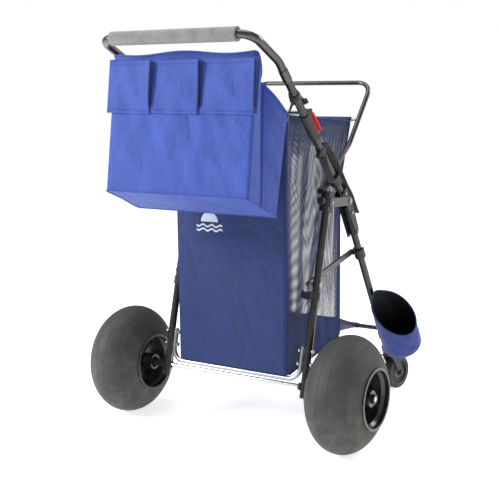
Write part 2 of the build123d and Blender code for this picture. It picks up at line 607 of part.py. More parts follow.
outer_arc = section_arc(0.0)
inner_arc = section_arc(TYRE_SKIN)
skin_face = make_face(Wire([
    Spline(*outer_arc),
    Line(outer_arc[-1], inner_arc[-1]),
    Spline(*reversed(inner_arc)),
    Line(inner_arc[0], outer_arc[0]),
]))
on_axle = Location((WHEEL_X, AXLE.Y, AXLE.Z))
pair("tyre", on_axle * revolve(skin_face, axis=Axis.X, revolution_arc=360))

bead_half = section_x(BEAD_R)
seat_in = bead_half - TYRE_SKIN - 4.0
lip_r = BEAD_R + RIM_LIP
rim_profile = [
    (-bead_half - 3.4, lip_r), (-bead_half - 0.8, lip_r), (-bead_half - 0.8, BEAD_R), (-seat_in, BEAD_R),
    (-seat_in + 8, BEAD_R - RIM_STEP), (seat_in - 8, BEAD_R - RIM_STEP), (seat_in, BEAD_R),
    (bead_half + 0.8, BEAD_R), (bead_half + 0.8, lip_r), (bead_half + 3.4, lip_r),
    (bead_half + 3.4, BEAD_R - RIM_WALL), (seat_in + 2, BEAD_R - RIM_WALL),
    (seat_in - 6, BEAD_R - RIM_STEP - RIM_WALL), (-seat_in + 6, BEAD_R - RIM_STEP - RIM_WALL),
    (-seat_in - 2, BEAD_R - RIM_WALL), (-bead_half - 3.4, BEAD_R - RIM_WALL),
]
rim_face = make_face(Polyline(*[Vector(x, r) for x, r in rim_profile], close=True))
rim = revolve(rim_face, axis=Axis.X, revolution_arc=360)
hub_out = bead_half - HUB_END_GAP
rim += rod((-bead_half, 0, 0), (hub_out, 0, 0), HUB_D)
spoke_reach = BEAD_R - RIM_STEP - RIM_WALL / 2
for k in range(SPOKES):
    spoke = Box(SPOKE_DEEP, SPOKE_W, spoke_reach, align=(MID, MID, Align.MIN))
    rim += Rot(360.0 * k / SPOKES, 0, 0) * spoke
rim -= rod((-200, 0, 0), (200, 0, 0), AXLE_D + 2 * RUN)
rim -= rod((-200, 0, 0), (-bead_half + 26.0, 0, 0), HUB_D - 12.0)
valve_at = BEAD_R - RIM_STEP - RIM_WALL
valve_spot = Vector(seat_in - 22, valve_at * math.sin(0.5), valve_at * math.cos(0.5))
valve_axis = Vector(0.55, -math.sin(0.5), -math.cos(0.5)).normalized()
valve = rod(valve_spot - valve_axis * 3.0, valve_spot + valve_axis * 17.0, 8.0)
rim -= rod(valve_spot - valve_axis * 9.0, valve_spot + valve_axis * 17.0, 8.0)
pair("rim", on_axle * Compound(children=[rim, valve]))

axle_end = WHEEL_X + hub_out + AXLE_END
hub_in = WHEEL_X - bead_half + 26.0
nodes["rear_axle"] = across(AXLE, -axle_end, axle_end, AXLE_D)
leg_face = FRAME_X + tube_r
spacer = ring(AXLE, leg_face, hub_in - 0.6, 20.0, AXLE_D)
keeper = ring(AXLE, FRAME_X - tube_r - 5.0, FRAME_X - tube_r, 20.0, AXLE_D)
cap = ring(AXLE, WHEEL_X + hub_out + 0.6, axle_end, 24.0, AXLE_D)
nodes["axle_fittings"] = both(Compound(children=[spacer, keeper, cap]))

# ==== storage bag ===============================================================================
bag_in = BAG_HALF - CLOTH_T
rod_clear = 0.6
rear_top = rear_rod_at.Z - ROD_D / 2 - rod_clear
front_lip = Vector(0, front_rod_at.Y + 3.0, front_rod_at.Z - (ROD_D - 2.0) / 2 - rod_clear)
floor_low = BAG_LOW_Z - CLOTH_T
front_low = BAG_FRONT_LOW_Z - CLOTH_T
side_panel = slab([(BAG_REAR_Y, floor_low), (BAG_FRONT_Y, front_low), (BAG_FRONT_Y, BAG_KNEE_Z),
                   (front_lip.Y, front_lip.Z), (front_lip.Y - 24.0, front_lip.Z), (BAG_REAR_Y, rear_top)],
                  bag_in, BAG_HALF)
nodes["bag_sides"] = both(side_panel)
nodes["bag_rear"] = slab([(BAG_REAR_Y, floor_low), (BAG_REAR_Y + CLOTH_T, floor_low),
                          (BAG_REAR_Y + CLOTH_T, rear_top), (BAG_REAR_Y, rear_top)], -bag_in, bag_in)
floor_rear = BAG_REAR_Y + CLOTH_T + SEAM_GAP
floor_front = BAG_FRONT_Y - CLOTH_T
nodes["bag_floor"] = slab([(floor_rear, floor_low), (floor_front, front_low),
                           (floor_front, BAG_FRONT_LOW_Z), (floor_rear, BAG_LOW_Z)],
                          -bag_in, bag_in)
nodes["bag_front"] = slab([(BAG_FRONT_Y, front_low), (BAG_FRONT_Y, BAG_KNEE_Z),
                           (front_lip.Y, front_lip.Z),
                           (front_lip.Y - CLOTH_T, front_lip.Z), (floor_front, BAG_KNEE_Z),
                           (floor_front, front_low)], -bag_in, bag_in)

cross_at = HINGE + FRONT_DIR * CROSS_DOWN
hem_d = CROSS_D + 0.6 + 2 * HEM_T
apron_rear = BAG_FRONT_Y + 0.6
apron = slab([(apron_rear, front_low), (apron_rear, front_low + APRON_RISE),
              (cross_at.Y, cross_at.Z + hem_d / 2), (cross_at.Y, cross_at.Z - hem_d / 2)],
             -APRON_HALF, APRON_HALF)
apron -= slab([(apron_rear - 1.0, front_low + CLOTH_T), (apron_rear - 1.0, front_low + APRON_RISE + 20.0),
               (cross_at.Y - hem_d / 2, cross_at.Z + APRON_RISE),
               (cross_at.Y - hem_d / 2, cross_at.Z - hem_d / 2 + CLOTH_T)],
              -APRON_HALF + CLOTH_T, APRON_HALF - CLOTH_T)
apron += across(cross_at, -APRON_HALF, APRON_HALF, hem_d)
nodes["bag_apron"] = apron - across(cross_at, -2 * FRAME_X, 2 * FRAME_X, CROSS_D + 0.6)


def webbing_loop(spot, direction):
    """Webbing round a tube, with the space its outer surface fills."""
    low, high = spot - direction * (TIE_W / 2), spot + direction * (TIE_W / 2)
    sleeve = rod(low, high, TUBE_D + 0.6 + 2 * WEB_T) - rod(low, high, TUBE_D + 0.6)
    return sleeve, rod(spot - direction * TIE_W, spot + direction * TIE_W, TUBE_D + 0.6 + 2 * WEB_T)


tie_at = AXLE + REAR_DIR * TIE_UP
tie = Location((BAG_HALF + 0.5, tie_at.Y, tie_at.Z)) * Box(FRAME_X - tube_r - 1.0 - BAG_HALF, WEB_T, TIE_W,
                                                          align=(Align.MIN, MID, MID))
tie_loop, tie_space = webbing_loop(tie_at, REAR_DIR)
nodes["side_ties"] = both(Compound(children=[tie - tie_space, tie_loop]))

# ==== tote bag ==================================================================================
rear_top_pt = Vector(0, *TOTE_REAR_TOP)
rear_low_pt = Vector(0, *TOTE_REAR_LOW)
front_top_pt = Vector(0, *TOTE_FRONT_TOP)
front_low_pt = Vector(0, *TOTE_FRONT_LOW)
shell_line = [rear_top_pt, rear_low_pt, front_low_pt, front_top_pt]
outline = [(p.Y, p.Z) for p in shell_line]
rear_run = (rear_top_pt - rear_low_pt).normalized()
front_run = (front_top_pt - front_low_pt).normalized()
rear_past = rear_top_pt + rear_run * 60
front_past = front_top_pt + front_run * 120
inner_line = [
    (rear_past.Y + CLOTH_T, rear_past.Z), (rear_low_pt.Y + CLOTH_T, rear_low_pt.Z + CLOTH_T),
    (front_low_pt.Y - CLOTH_T, front_low_pt.Z + CLOTH_T), (front_past.Y - CLOTH_T, front_past.Z),
]
tote = slab(outline, -TOTE_HALF, TOTE_HALF) - slab(inner_line, -TOTE_HALF + CLOTH_T, TOTE_HALF - CLOTH_T)
nodes["tote_body"] = tote

rear_square = Vector(0, rear_run.Z, -rear_run.Y)


def on_rear(z, off):
    """Point on the tote's rear face at a height, stood off rearwards."""
    reach = (z - rear_low_pt.Z) / rear_run.Z
    return rear_low_pt + rear_run * reach - rear_square * off


pocket_line = [on_rear(POCKET_LOW, POCKET_GAP), on_rear(POCKET_TOP, POCKET_GAP),
               on_rear(POCKET_TOP, POCKET_GAP + POCKET_T), on_rear(POCKET_LOW, POCKET_GAP + POCKET_T)]
pockets = slab([(p.Y, p.Z) for p in pocket_line], -POCKET_HALF, POCKET_HALF)
pocket_w = (2 * POCKET_HALF - 4 * POCKET_WALL) / 3
hollow_line = [on_rear(POCKET_LOW + POCKET_WALL, POCKET_GAP + POCKET_WALL),
               on_rear(POCKET_TOP + 20, POCKET_GAP + POCKET_WALL),
               on_rear(POCKET_TOP + 20, POCKET_GAP + POCKET_T - POCKET_WALL),
               on_rear(POCKET_LOW + POCKET_WALL, POCKET_GAP + POCKET_T - POCKET_WALL)]
for k in range(3):
    x_low = -POCKET_HALF + POCKET_WALL + k * (pocket_w + POCKET_WALL)
    pockets -= slab([(p.Y, p.Z) for p in hollow_line], x_low, x_low + pocket_w)
nodes["tote_pockets"] = pockets

loop_at = HINGE + UPPER_DIR * LOOP_UP
loop_r = tube_r + 0.6
loop_bore = rod(loop_at - UPPER_DIR * 20.0, loop_at + UPPER_DIR * 20.0, 2 * loop_r)
loop = rod(loop_at - UPPER_DIR * LOOP_HALF, loop_at + UPPER_DIR * LOOP_HALF, 2 * (loop_r + LOOP_T))
hang_from = loop_at - UPPER_OUT * (loop_r + LOOP_T / 2)
hang_to = with_x(front_top_pt, TOTE_HALF - 6.0) + Vector(0, 0.8, -10.0)
loop += rod(hang_from, hang_to, 2 * LOOP_T)
nodes["tote_loops"] = both(loop - loop_bore)

# ==== lower cross bar ============================================================================
leg_bore = tube(HINGE + FRONT_DIR * FRONT_LEG_GAP, LEG_LOW, TUBE_D, TUBE_WALL)
bar_reach = FRAME_X + tube_r - TUBE_WALL - 1.0
nodes["cross_bar"] = across(cross_at, -bar_reach, bar_reach, CROSS_D) - both(leg_bore)

# ==== leg pouch ==================================================================================
turn = math.radians(POUCH_TURN)
pouch_way = Vector(math.cos(turn), 0, 0) - FRONT_OUT * math.sin(turn)
pouch_r = POUCH_D / 2
pouch_off = pouch_way * (tube_r + POUCH_GAP + pouch_r)


def on_pouch(down):
    """A point on the pouch's axis, at a distance from the hinge along the leg."""
    return HINGE + FRONT_DIR * down + pouch_off


cup = rod(on_pouch(POUCH_HIGH - 20.0), on_pouch(POUCH_END), POUCH_D)
cup = fillet(cup.edges().sort_by(Axis.Z)[0], POUCH_CORNER)
cup_space = cup
bore = rod(on_pouch(POUCH_HIGH - 40.0), on_pouch(POUCH_END - CLOTH_T), POUCH_D - 2 * CLOTH_T)
bore = fillet(bore.edges().sort_by(Axis.Z)[0], POUCH_CORNER - CLOTH_T)
edge_high = on_pouch(POUCH_HIGH) - pouch_way * pouch_r
edge_lip = on_pouch(POUCH_LIP) + pouch_way * pouch_r
mouth_run = (edge_lip - edge_high).normalized()
mouth_side = pouch_way.cross(FRONT_DIR)
mouth_up = mouth_side.cross(mouth_run)
if mouth_up.dot(FRONT_DIR) > 0:
    mouth_up = -mouth_up
cutter = Plane(origin=(edge_high + edge_lip) / 2, x_dir=mouth_run, z_dir=mouth_up)
above_mouth = cutter * Box(500, 500, 300, align=(MID, MID, Align.MIN))
nodes["leg_pouch"] = cup - bore - above_mouth

strap_spot = HINGE + FRONT_DIR * POUCH_STRAP_AT
strap_ring, strap_space = webbing_loop(strap_spot, FRONT_DIR)
bridge = rod(strap_spot + pouch_way * (tube_r + 1.0), strap_spot + pouch_off, TIE_W - 4.0)
bridge -= rod(strap_spot - FRONT_DIR * TIE_W, strap_spot + FRONT_DIR * TIE_W, TUBE_D + 0.6)
nodes["pouch_strap"] = strap_ring + (bridge - cup_space)

# ==== placing and writing =======================================================================
y_low = min(shape.bounding_box().min.Y for shape in nodes.values())
y_high = max(shape.bounding_box().max.Y for shape in nodes.values())
SHIFT = Vector(0, -(y_low + y_high) / 2, 0)
os.makedirs("parts", exist_ok=True)
for name, shape in nodes.items():
    export_step(Location(SHIFT) * shape, f"parts/{name}.step")
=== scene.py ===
import json
import math

import bpy
import numpy as np
from mathutils import Matrix, Vector


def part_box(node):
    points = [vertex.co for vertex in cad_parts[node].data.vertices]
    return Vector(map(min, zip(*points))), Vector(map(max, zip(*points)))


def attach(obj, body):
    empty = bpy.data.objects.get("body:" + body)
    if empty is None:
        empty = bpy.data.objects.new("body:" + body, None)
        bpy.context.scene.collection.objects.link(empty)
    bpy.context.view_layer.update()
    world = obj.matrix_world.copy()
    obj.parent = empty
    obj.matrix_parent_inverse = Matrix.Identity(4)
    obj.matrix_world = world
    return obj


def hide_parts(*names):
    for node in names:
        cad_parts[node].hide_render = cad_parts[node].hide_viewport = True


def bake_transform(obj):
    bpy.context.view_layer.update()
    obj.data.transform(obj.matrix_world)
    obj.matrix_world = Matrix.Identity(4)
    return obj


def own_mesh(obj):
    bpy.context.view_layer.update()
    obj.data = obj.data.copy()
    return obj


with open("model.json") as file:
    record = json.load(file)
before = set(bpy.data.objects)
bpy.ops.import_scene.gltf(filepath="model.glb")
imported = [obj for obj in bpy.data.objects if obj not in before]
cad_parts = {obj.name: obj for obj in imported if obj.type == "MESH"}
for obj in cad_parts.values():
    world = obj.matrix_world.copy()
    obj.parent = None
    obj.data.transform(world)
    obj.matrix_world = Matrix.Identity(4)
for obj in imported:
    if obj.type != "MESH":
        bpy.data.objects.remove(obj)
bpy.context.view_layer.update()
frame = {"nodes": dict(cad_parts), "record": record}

RECORD = frame["record"]
axle_low, axle_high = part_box("rear_axle")
AXLE_Y = (axle_low[1] + axle_high[1]) / 2


def place(points):
    """Millimetres, with y counted from the rear axle, to metres in the cart's frame."""
    out = np.asarray(points, float) * 0.001
    return out + np.array([0.0, AXLE_Y, 0.0])


def spot(x, y, z):
    return Vector(place([x, y, z]))


# ---- camera, light and floor -------------------------------------------------------------------
camera_data = bpy.data.cameras.new("camera")
camera_data.sensor_fit = "HORIZONTAL"
camera_data.sensor_width = 36.0
camera_data.lens = 72.13
camera_data.shift_x = 0.0110
camera_data.shift_y = 0.0048
camera_data.clip_end = 60.0
camera = bpy.data.objects.new("camera", camera_data)
bpy.context.scene.collection.objects.link(camera)
turn, dip, roll = math.radians(32.08), math.radians(10.0), math.radians(-0.77)
ahead = Vector((-math.sin(turn) * math.cos(dip), math.cos(turn) * math.cos(dip), -math.sin(dip)))
level = ahead.cross(Vector((0, 0, 1))).normalized()
upward = level.cross(ahead)
right = level * math.cos(roll) + upward * math.sin(roll)
above = upward * math.cos(roll) - level * math.sin(roll)
pose = Matrix((right, above, -ahead)).transposed().to_4x4()
pose.translation = spot(1395.8, -2163.8, 936.1)
camera.matrix_world = pose
bpy.context.scene.camera = camera


def soft_light(name, at, toward, size, power, colour=(1, 1, 1)):
    data = bpy.data.lights.new(name, "AREA")
    data.shape = "DISK"
    data.size = size
    data.energy = power
    data.color = colour
    lamp = bpy.data.objects.new(name, data)
    lamp.location = at
    lamp.rotation_euler = (Vector(toward) - Vector(at)).to_track_quat("-Z", "Y").to_euler()
    bpy.context.scene.collection.objects.link(lamp)


middle = (0.0, 0.0, 0.5)
soft_light("key", (-2.6, -2.6, 2.3), middle, 1.3, 150)
soft_light("fill", (2.8, -1.8, 1.5), middle, 2.4, 6)
soft_light("rim", (1.9, 2.4, 2.2), middle, 1.6, 45)
soft_light("top", (-0.4, 0.1, 3.4), middle, 2.6, 50)
world = bpy.data.worlds.new("studio")
world.use_nodes = True
sky = world.node_tree
dim = sky.nodes["Background"]
dim.inputs["Color"].default_value = (1.0, 1.0, 1.0, 1)
dim.inputs["Strength"].default_value = 0.36
white = sky.nodes.new("ShaderNodeBackground")
white.inputs["Color"].default_value = (1.0, 1.0, 1.0, 1)
white.inputs["Strength"].default_value = 1.0
seen = sky.nodes.new("ShaderNodeLightPath")
mixed = sky.nodes.new("ShaderNodeMixShader")
sky.links.new(seen.outputs["Is Camera Ray"], mixed.inputs[0])
sky.links.new(dim.outputs[0], mixed.inputs[1])
sky.links.new(white.outputs[0], mixed.inputs[2])
sky.links.new(mixed.outputs[0], sky.nodes["World Output"].inputs["Surface"])
bpy.context.scene.world = world
bpy.context.scene.view_settings.view_transform = "Standard"
bpy.context.scene.view_settings.look = "None"


# ---- shading helpers ---------------------------------------------------------------------------
def calc(tree, operation, *values):
    """A Math node of the given kind, fed by sockets or plain numbers; gives its output."""
    node = tree.nodes.new("ShaderNodeMath")
    node.operation = operation
    for socket, value in zip(node.inputs, values):
        if isinstance(value, (int, float)):
            socket.default_value = value
        else:
            tree.links.new(value, socket)
    return node.outputs[0]


def ramp(tree, value, low, high, to_low=0.0, to_high=1.0):
    """A smooth step of a value between two limits."""
    node = tree.nodes.new("ShaderNodeMapRange")
    node.interpolation_type = "SMOOTHSTEP"
    for name, number in (("From Min", low), ("From Max", high), ("To Min", to_low), ("To Max", to_high)):
        node.inputs[name].default_value = number
    tree.links.new(value, node.inputs["Value"])
    return node.outputs["Result"]


def noise(tree, vector, scale, detail=3.0, rough=0.55):
    node = tree.nodes.new("ShaderNodeTexNoise")
    node.inputs["Scale"].default_value = scale
    node.inputs["Detail"].default_value = detail
    node.inputs["Roughness"].default_value = rough
    tree.links.new(vector, node.inputs["Vector"])
    return node.outputs[0]


def split(tree, vector):
    node = tree.nodes.new("ShaderNodeSeparateXYZ")
    tree.links.new(vector, node.inputs[0])
    return node.outputs[0], node.outputs[1], node.outputs[2]


def blend_colour(tree, share, first, second):
    node = tree.nodes.new("ShaderNodeMix")
    node.data_type = "RGBA"
    for socket, value in ((node.inputs[0], share), (node.inputs[6], first), (node.inputs[7], second)):
        if isinstance(value, (tuple, list)):
            socket.default_value = (*value[:3], 1.0)
        elif isinstance(value, (int, float)):
            socket.default_value = value
        else:
            tree.links.new(value, socket)
    return node.outputs[2]


def bump(tree, height, distance, strength=1.0, after=None):
    node = tree.nodes.new("ShaderNodeBump")
    node.inputs["Distance"].default_value = distance
    node.inputs["Strength"].default_value = strength
    tree.links.new(height, node.inputs["Height"])
    if after is not None:
        tree.links.new(after, node.inputs["Normal"])
    return node.outputs[0]


def new_group(name, inputs, outputs):
    """An empty shader group with named sockets: (name, kind, default) in, names of floats out."""
    group = bpy.data.node_groups.new(name, "ShaderNodeTree")
    for label, kind, value in inputs:
        socket = group.interface.new_socket(name=label, in_out="INPUT", socket_type=kind)
        if value is not None:
            socket.default_value = value
    for label in outputs:
        group.interface.new_socket(name=label, in_out="OUTPUT", socket_type="NodeSocketFloat")
    return group, group.nodes.new("NodeGroupInput"), group.nodes.new("NodeGroupOutput")


def use_group(tree, group, vector, **values):
    node = tree.nodes.new("ShaderNodeGroup")
    node.node_tree = group
    tree.links.new(vector, node.inputs["Vector"])
    for label, value in values.items():
        node.inputs[label.replace("_", " ")].default_value = value
    return node.outputs


# plain weave: over one thread, under the next, from the product of two sines
weave, g_in, g_out = new_group("plain weave", [("Vector", "NodeSocketVector", None),
                                               ("Threads", "NodeSocketFloat", 900.0)], ["Height", "Tone"])
wx, wy, _ = split(weave, g_in.outputs["Vector"])
su = calc(weave, "SINE", calc(weave, "MULTIPLY", calc(weave, "MULTIPLY", wx, g_in.outputs["Threads"]), math.pi))
sv = calc(weave, "SINE", calc(weave, "MULTIPLY", calc(weave, "MULTIPLY", wy, g_in.outputs["Threads"]), math.pi))
over = ramp(weave, calc(weave, "MULTIPLY", su, sv), -0.15, 0.15)
warp = calc(weave, "MULTIPLY", calc(weave, "ABSOLUTE", su), over)
weft = calc(weave, "MULTIPLY", calc(weave, "ABSOLUTE", sv), calc(weave, "SUBTRACT", 1.0, over))
weave.links.new(calc(weave, "ADD", warp, weft), g_out.inputs["Height"])
weave.links.new(noise(weave, g_in.outputs["Vector"], 14.0, 4.0, 0.6), g_out.inputs["Tone"])

# scuffs: marks where a noise passes a threshold, and a fine grain
scuffs, g_in, g_out = new_group("scuffs and grain", [("Vector", "NodeSocketVector", None),
                                                     ("Grain Scale", "NodeSocketFloat", 700.0)],
                                ["Marks", "Grain", "Patches"])
rough_noise = noise(scuffs, g_in.outputs["Vector"], 60.0, 6.0, 0.7)
scuffs.links.new(ramp(scuffs, rough_noise, 0.60, 0.74), g_out.inputs["Marks"])
fine = scuffs.nodes.new("ShaderNodeTexNoise")
fine.inputs["Detail"].default_value = 2.0
scuffs.links.new(g_in.outputs["Vector"], fine.inputs["Vector"])
scuffs.links.new(g_in.outputs["Grain Scale"], fine.inputs["Scale"])
scuffs.links.new(fine.outputs[0], g_out.inputs["Grain"])
scuffs.links.new(noise(scuffs, g_in.outputs["Vector"], 9.0, 3.0), g_out.inputs["Patches"])

# dust: thickest near the ground, broken up by noise
dust, g_in, g_out = new_group("ground dust", [("Vector", "NodeSocketVector", None),
                                              ("Height", "NodeSocketFloat", 0.3)], ["Mask"])
_, _, dz = split(dust, g_in.outputs["Vector"])
low_share = calc(dust, "SUBTRACT", 1.0, calc(dust, "DIVIDE", dz, g_in.outputs["Height"]))
patchy = ramp(dust, noise(dust, g_in.outputs["Vector"], 26.0, 5.0, 0.65), 0.42, 0.72)
dust.links.new(calc(dust, "MULTIPLY", calc(dust, "MAXIMUM", low_share, 0.0), patchy), g_out.inputs["Mask"])


def start(name, **settings):
    """A material with its Principled shader's constant sockets set; gives material, tree, shader."""
    made = bpy.data.materials.new(name)
    made.use_nodes = True
    tree = made.node_tree
    shader = tree.nodes["Principled BSDF"]
    for label, value in settings.items():
        shader.inputs[label.replace("_", " ")].default_value = value
    return made, tree, shader


def object_vector(tree):
    return tree.nodes.new("ShaderNodeTexCoord").outputs["Object"]


def uv_vector(tree):
    return tree.nodes.new("ShaderNodeUVMap").outputs[0]


def hard(name, colour, worn, metal, rough, grain=700.0, grain_depth=0.00005, wear=0.5, dusty=0.0, **settings):
    """Paint, metal or moulded plastic: base and worn colour, roughness that varies, fine grain."""
    made, tree, shader = start(name, **settings)
    where = object_vector(tree)
    out = use_group(tree, scuffs, where, Grain_Scale=grain)
    share = calc(tree, "MULTIPLY", out["Marks"], wear)
    tint = blend_colour(tree, ramp(tree, out["Patches"], 0.3, 0.7), tuple(c * 0.86 for c in colour), colour)
    tint = blend_colour(tree, share, tint, worn)
    if dusty:
        mask = use_group(tree, dust, where, Height=0.32)["Mask"]
        tint = blend_colour(tree, calc(tree, "MULTIPLY", mask, dusty), tint, (0.42, 0.36, 0.27))
    tree.links.new(tint, shader.inputs["Base Color"])
    varied = calc(tree, "ADD", calc(tree, "MULTIPLY", out["Grain"], 0.10), rough - 0.05)
    varied = calc(tree, "ADD", varied, calc(tree, "MULTIPLY", out["Marks"], 0.12))
    tree.links.new(varied, shader.inputs["Roughness"])
    shader.inputs["Metallic"].default_value = metal
    tree.links.new(bump(tree, out["Grain"], grain_depth, 0.6), shader.inputs["Normal"])
    return made


looks = {}
looks["frame_paint"] = hard("dark gunmetal paint", (0.036, 0.036, 0.035), (0.15, 0.15, 0.145), 0.6, 0.27,
                            Coat_Weight=0.5, Coat_Roughness=0.12)
looks["bow_paint"] = hard("polished gunmetal", (0.085, 0.085, 0.082), (0.22, 0.22, 0.21), 0.85, 0.24,
                          Coat_Weight=0.4, Coat_Roughness=0.1)
looks["bright_steel"] = hard("bright steel", (0.62, 0.62, 0.62), (0.35, 0.34, 0.32), 1.0, 0.18, wear=0.3)
looks["zinc_steel"] = hard("zinc steel", (0.40, 0.41, 0.42), (0.22, 0.21, 0.20), 1.0, 0.32, wear=0.4)
looks["grey_plate"] = hard("grey plate", (0.13, 0.13, 0.13), (0.30, 0.30, 0.30), 0.7, 0.36)
looks["black_plastic"] = hard("black moulded plastic", (0.016, 0.016, 0.017), (0.06, 0.06, 0.06), 0.0, 0.42,
                              grain=420.0, grain_depth=0.00012, wear=0.35)
looks["red_plastic"] = hard("red moulded plastic", (0.66, 0.012, 0.014), (0.75, 0.10, 0.09), 0.0, 0.28,
                            wear=0.25, Coat_Weight=0.3)
looks["rim_plastic"] = hard("black rim plastic", (0.014, 0.014, 0.015), (0.08, 0.08, 0.08), 0.0, 0.30,
                            grain=300.0, dusty=0.25, Coat_Weight=0.2)


def foam_look():
    """Closed-cell foam: small pores in two sizes, a slightly lighter rubbed tone."""
    made, tree, shader = start("grip foam", Sheen_Weight=0.35, Sheen_Roughness=0.6, Roughness=0.92)
    where = object_vector(tree)
    cells = tree.nodes.new("ShaderNodeTexVoronoi")
    cells.inputs["Scale"].default_value = 620.0
    tree.links.new(where, cells.inputs["Vector"])
    soft = noise(tree, where, 35.0, 4.0)
    tree.links.new(blend_colour(tree, ramp(tree, soft, 0.3, 0.7), (0.135, 0.138, 0.132), (0.195, 0.198, 0.188)),
                   shader.inputs["Base Color"])
    fine_bump = bump(tree, cells.outputs["Distance"], 0.0004, 0.7)
    tree.links.new(bump(tree, soft, 0.0012, 0.5, fine_bump), shader.inputs["Normal"])
    return made


looks["grip_foam"] = foam_look()


def tyre_look(name, centre, axis_turn, lines, base, bands=()):
    """Rubber with raised mould lines at given offsets along the wheel's axis, and fine circular
    marks; bands are (inner radius, outer radius, colour) rings on the faces."""
    made, tree, shader = start(name, Specular_IOR_Level=0.35)
    where = object_vector(tree)
    move = tree.nodes.new("ShaderNodeMapping")
    move.vector_type = "TEXTURE"
    move.inputs["Location"].default_value = centre
    move.inputs["Rotation"].default_value = (0, 0, axis_turn)
    tree.links.new(where, move.inputs["Vector"])
    ax, ay, az = split(tree, move.outputs[0])
    radius = calc(tree, "SQRT", calc(tree, "ADD", calc(tree, "MULTIPLY", ay, ay), calc(tree, "MULTIPLY", az, az)))
    side = calc(tree, "ABSOLUTE", ax)
    height = calc(tree, "MULTIPLY", calc(tree, "SINE", calc(tree, "MULTIPLY", radius, 2600.0)), 0.06)
    for offset in lines:
        off = calc(tree, "ABSOLUTE", calc(tree, "SUBTRACT", side, offset))
        height = calc(tree, "ADD", height, ramp(tree, off, 0.0006, 0.0022, 1.0, 0.0))
    out = use_group(tree, scuffs, where, Grain_Scale=380.0)
    tint = blend_colour(tree, ramp(tree, out["Patches"], 0.35, 0.7), base, tuple(c * 1.35 for c in base))
    for inner, outer, colour in bands:
        ring = calc(tree, "MULTIPLY", ramp(tree, radius, inner - 0.0005, inner + 0.0005),
                    ramp(tree, radius, outer - 0.0005, outer + 0.0005, 1.0, 0.0))
        tint = blend_colour(tree, ring, tint, colour)
    mask = use_group(tree, dust, where, Height=0.34)["Mask"]
    tint = blend_colour(tree, calc(tree, "MULTIPLY", mask, 0.22), tint, (0.30, 0.27, 0.21))
    tree.links.new(tint, shader.inputs["Base Color"])
    tree.links.new(calc(tree, "ADD", 0.50, calc(tree, "MULTIPLY", out["Grain"], 0.22)), shader.inputs["Roughness"])
    first = bump(tree, out["Grain"], 0.0003, 0.5)
    tree.links.new(bump(tree, height, 0.0011, 0.9, first), shader.inputs["Normal"])
    return made


def sharp_folds(tree, uv, scale, width, warp):
    """Thin wandering crease lines: where a soft noise passes through its middle value."""
    soft = noise(tree, uv, scale, 2.0, warp)
    return ramp(tree, calc(tree, "ABSOLUTE", calc(tree, "SUBTRACT", soft, 0.5)), 0.0, width)


def cloth_look(name, colour, dark, threads=900.0, emblem=False, sheen=0.08):
    """Coated nylon: plain weave, soft creases, sharp fold lines and a tone that drifts."""
    made, tree, shader = start(name, Sheen_Weight=sheen, Sheen_Roughness=0.5, Specular_IOR_Level=0.32)
    uv = uv_vector(tree)
    out = use_group(tree, weave, uv, Threads=threads)
    creases = noise(tree, uv, 7.0, 5.0, 0.62)
    fine_creases = noise(tree, uv, 31.0, 4.0, 0.6)
    tint = blend_colour(tree, ramp(tree, out["Tone"], 0.3, 0.7), dark, colour)
    tint = blend_colour(tree, calc(tree, "MULTIPLY", out["Height"], 0.22), tint, tuple(min(1, c * 1.7) for c in colour))
    if emblem:
        tint = blend_colour(tree, sun_and_waves(tree), tint, (0.62, 0.68, 0.78))
    tree.links.new(tint, shader.inputs["Base Color"])
    tree.links.new(calc(tree, "ADD", 0.50, calc(tree, "MULTIPLY", creases, 0.25)), shader.inputs["Roughness"])
    first = bump(tree, out["Height"], 0.00022, 0.6)
    second = bump(tree, fine_creases, 0.0022, 0.55, first)
    third = bump(tree, sharp_folds(tree, uv, 5.5, 0.055, 0.4), 0.0022, 0.55, second)
    fourth = bump(tree, sharp_folds(tree, uv, 13.0, 0.07, 0.5), 0.0012, 0.45, third)
    tree.links.new(bump(tree, creases, 0.014, 0.7, fourth), shader.inputs["Normal"])
    return made


EMBLEM = place([-62.0, 0.0, 560.0])


def sun_and_waves(tree):
    """A print: a half disc over two wavy lines, as a mask on object coordinates."""
    ox, _, oz = split(tree, object_vector(tree))
    dx = calc(tree, "SUBTRACT", ox, float(EMBLEM[0]))
    up = calc(tree, "SUBTRACT", oz, float(EMBLEM[2]))
    away = calc(tree, "SQRT", calc(tree, "ADD", calc(tree, "MULTIPLY", dx, dx), calc(tree, "MULTIPLY", up, up)))
    disc = calc(tree, "MULTIPLY", ramp(tree, away, 0.0262, 0.0268, 1.0, 0.0), ramp(tree, up, 0.0, 0.0006))
    mask = disc
    wide = ramp(tree, calc(tree, "ABSOLUTE", dx), 0.040, 0.041, 1.0, 0.0)
    curve = calc(tree, "MULTIPLY", calc(tree, "SINE", calc(tree, "MULTIPLY", dx, 230.0)), 0.0028)
    for drop in (0.010, 0.021):
        line = calc(tree, "ABSOLUTE", calc(tree, "ADD", calc(tree, "SUBTRACT", up, curve), drop))
        mask = calc(tree, "MAXIMUM", mask, calc(tree, "MULTIPLY", ramp(tree, line, 0.0021, 0.0027, 1.0, 0.0), wide))
    return mask


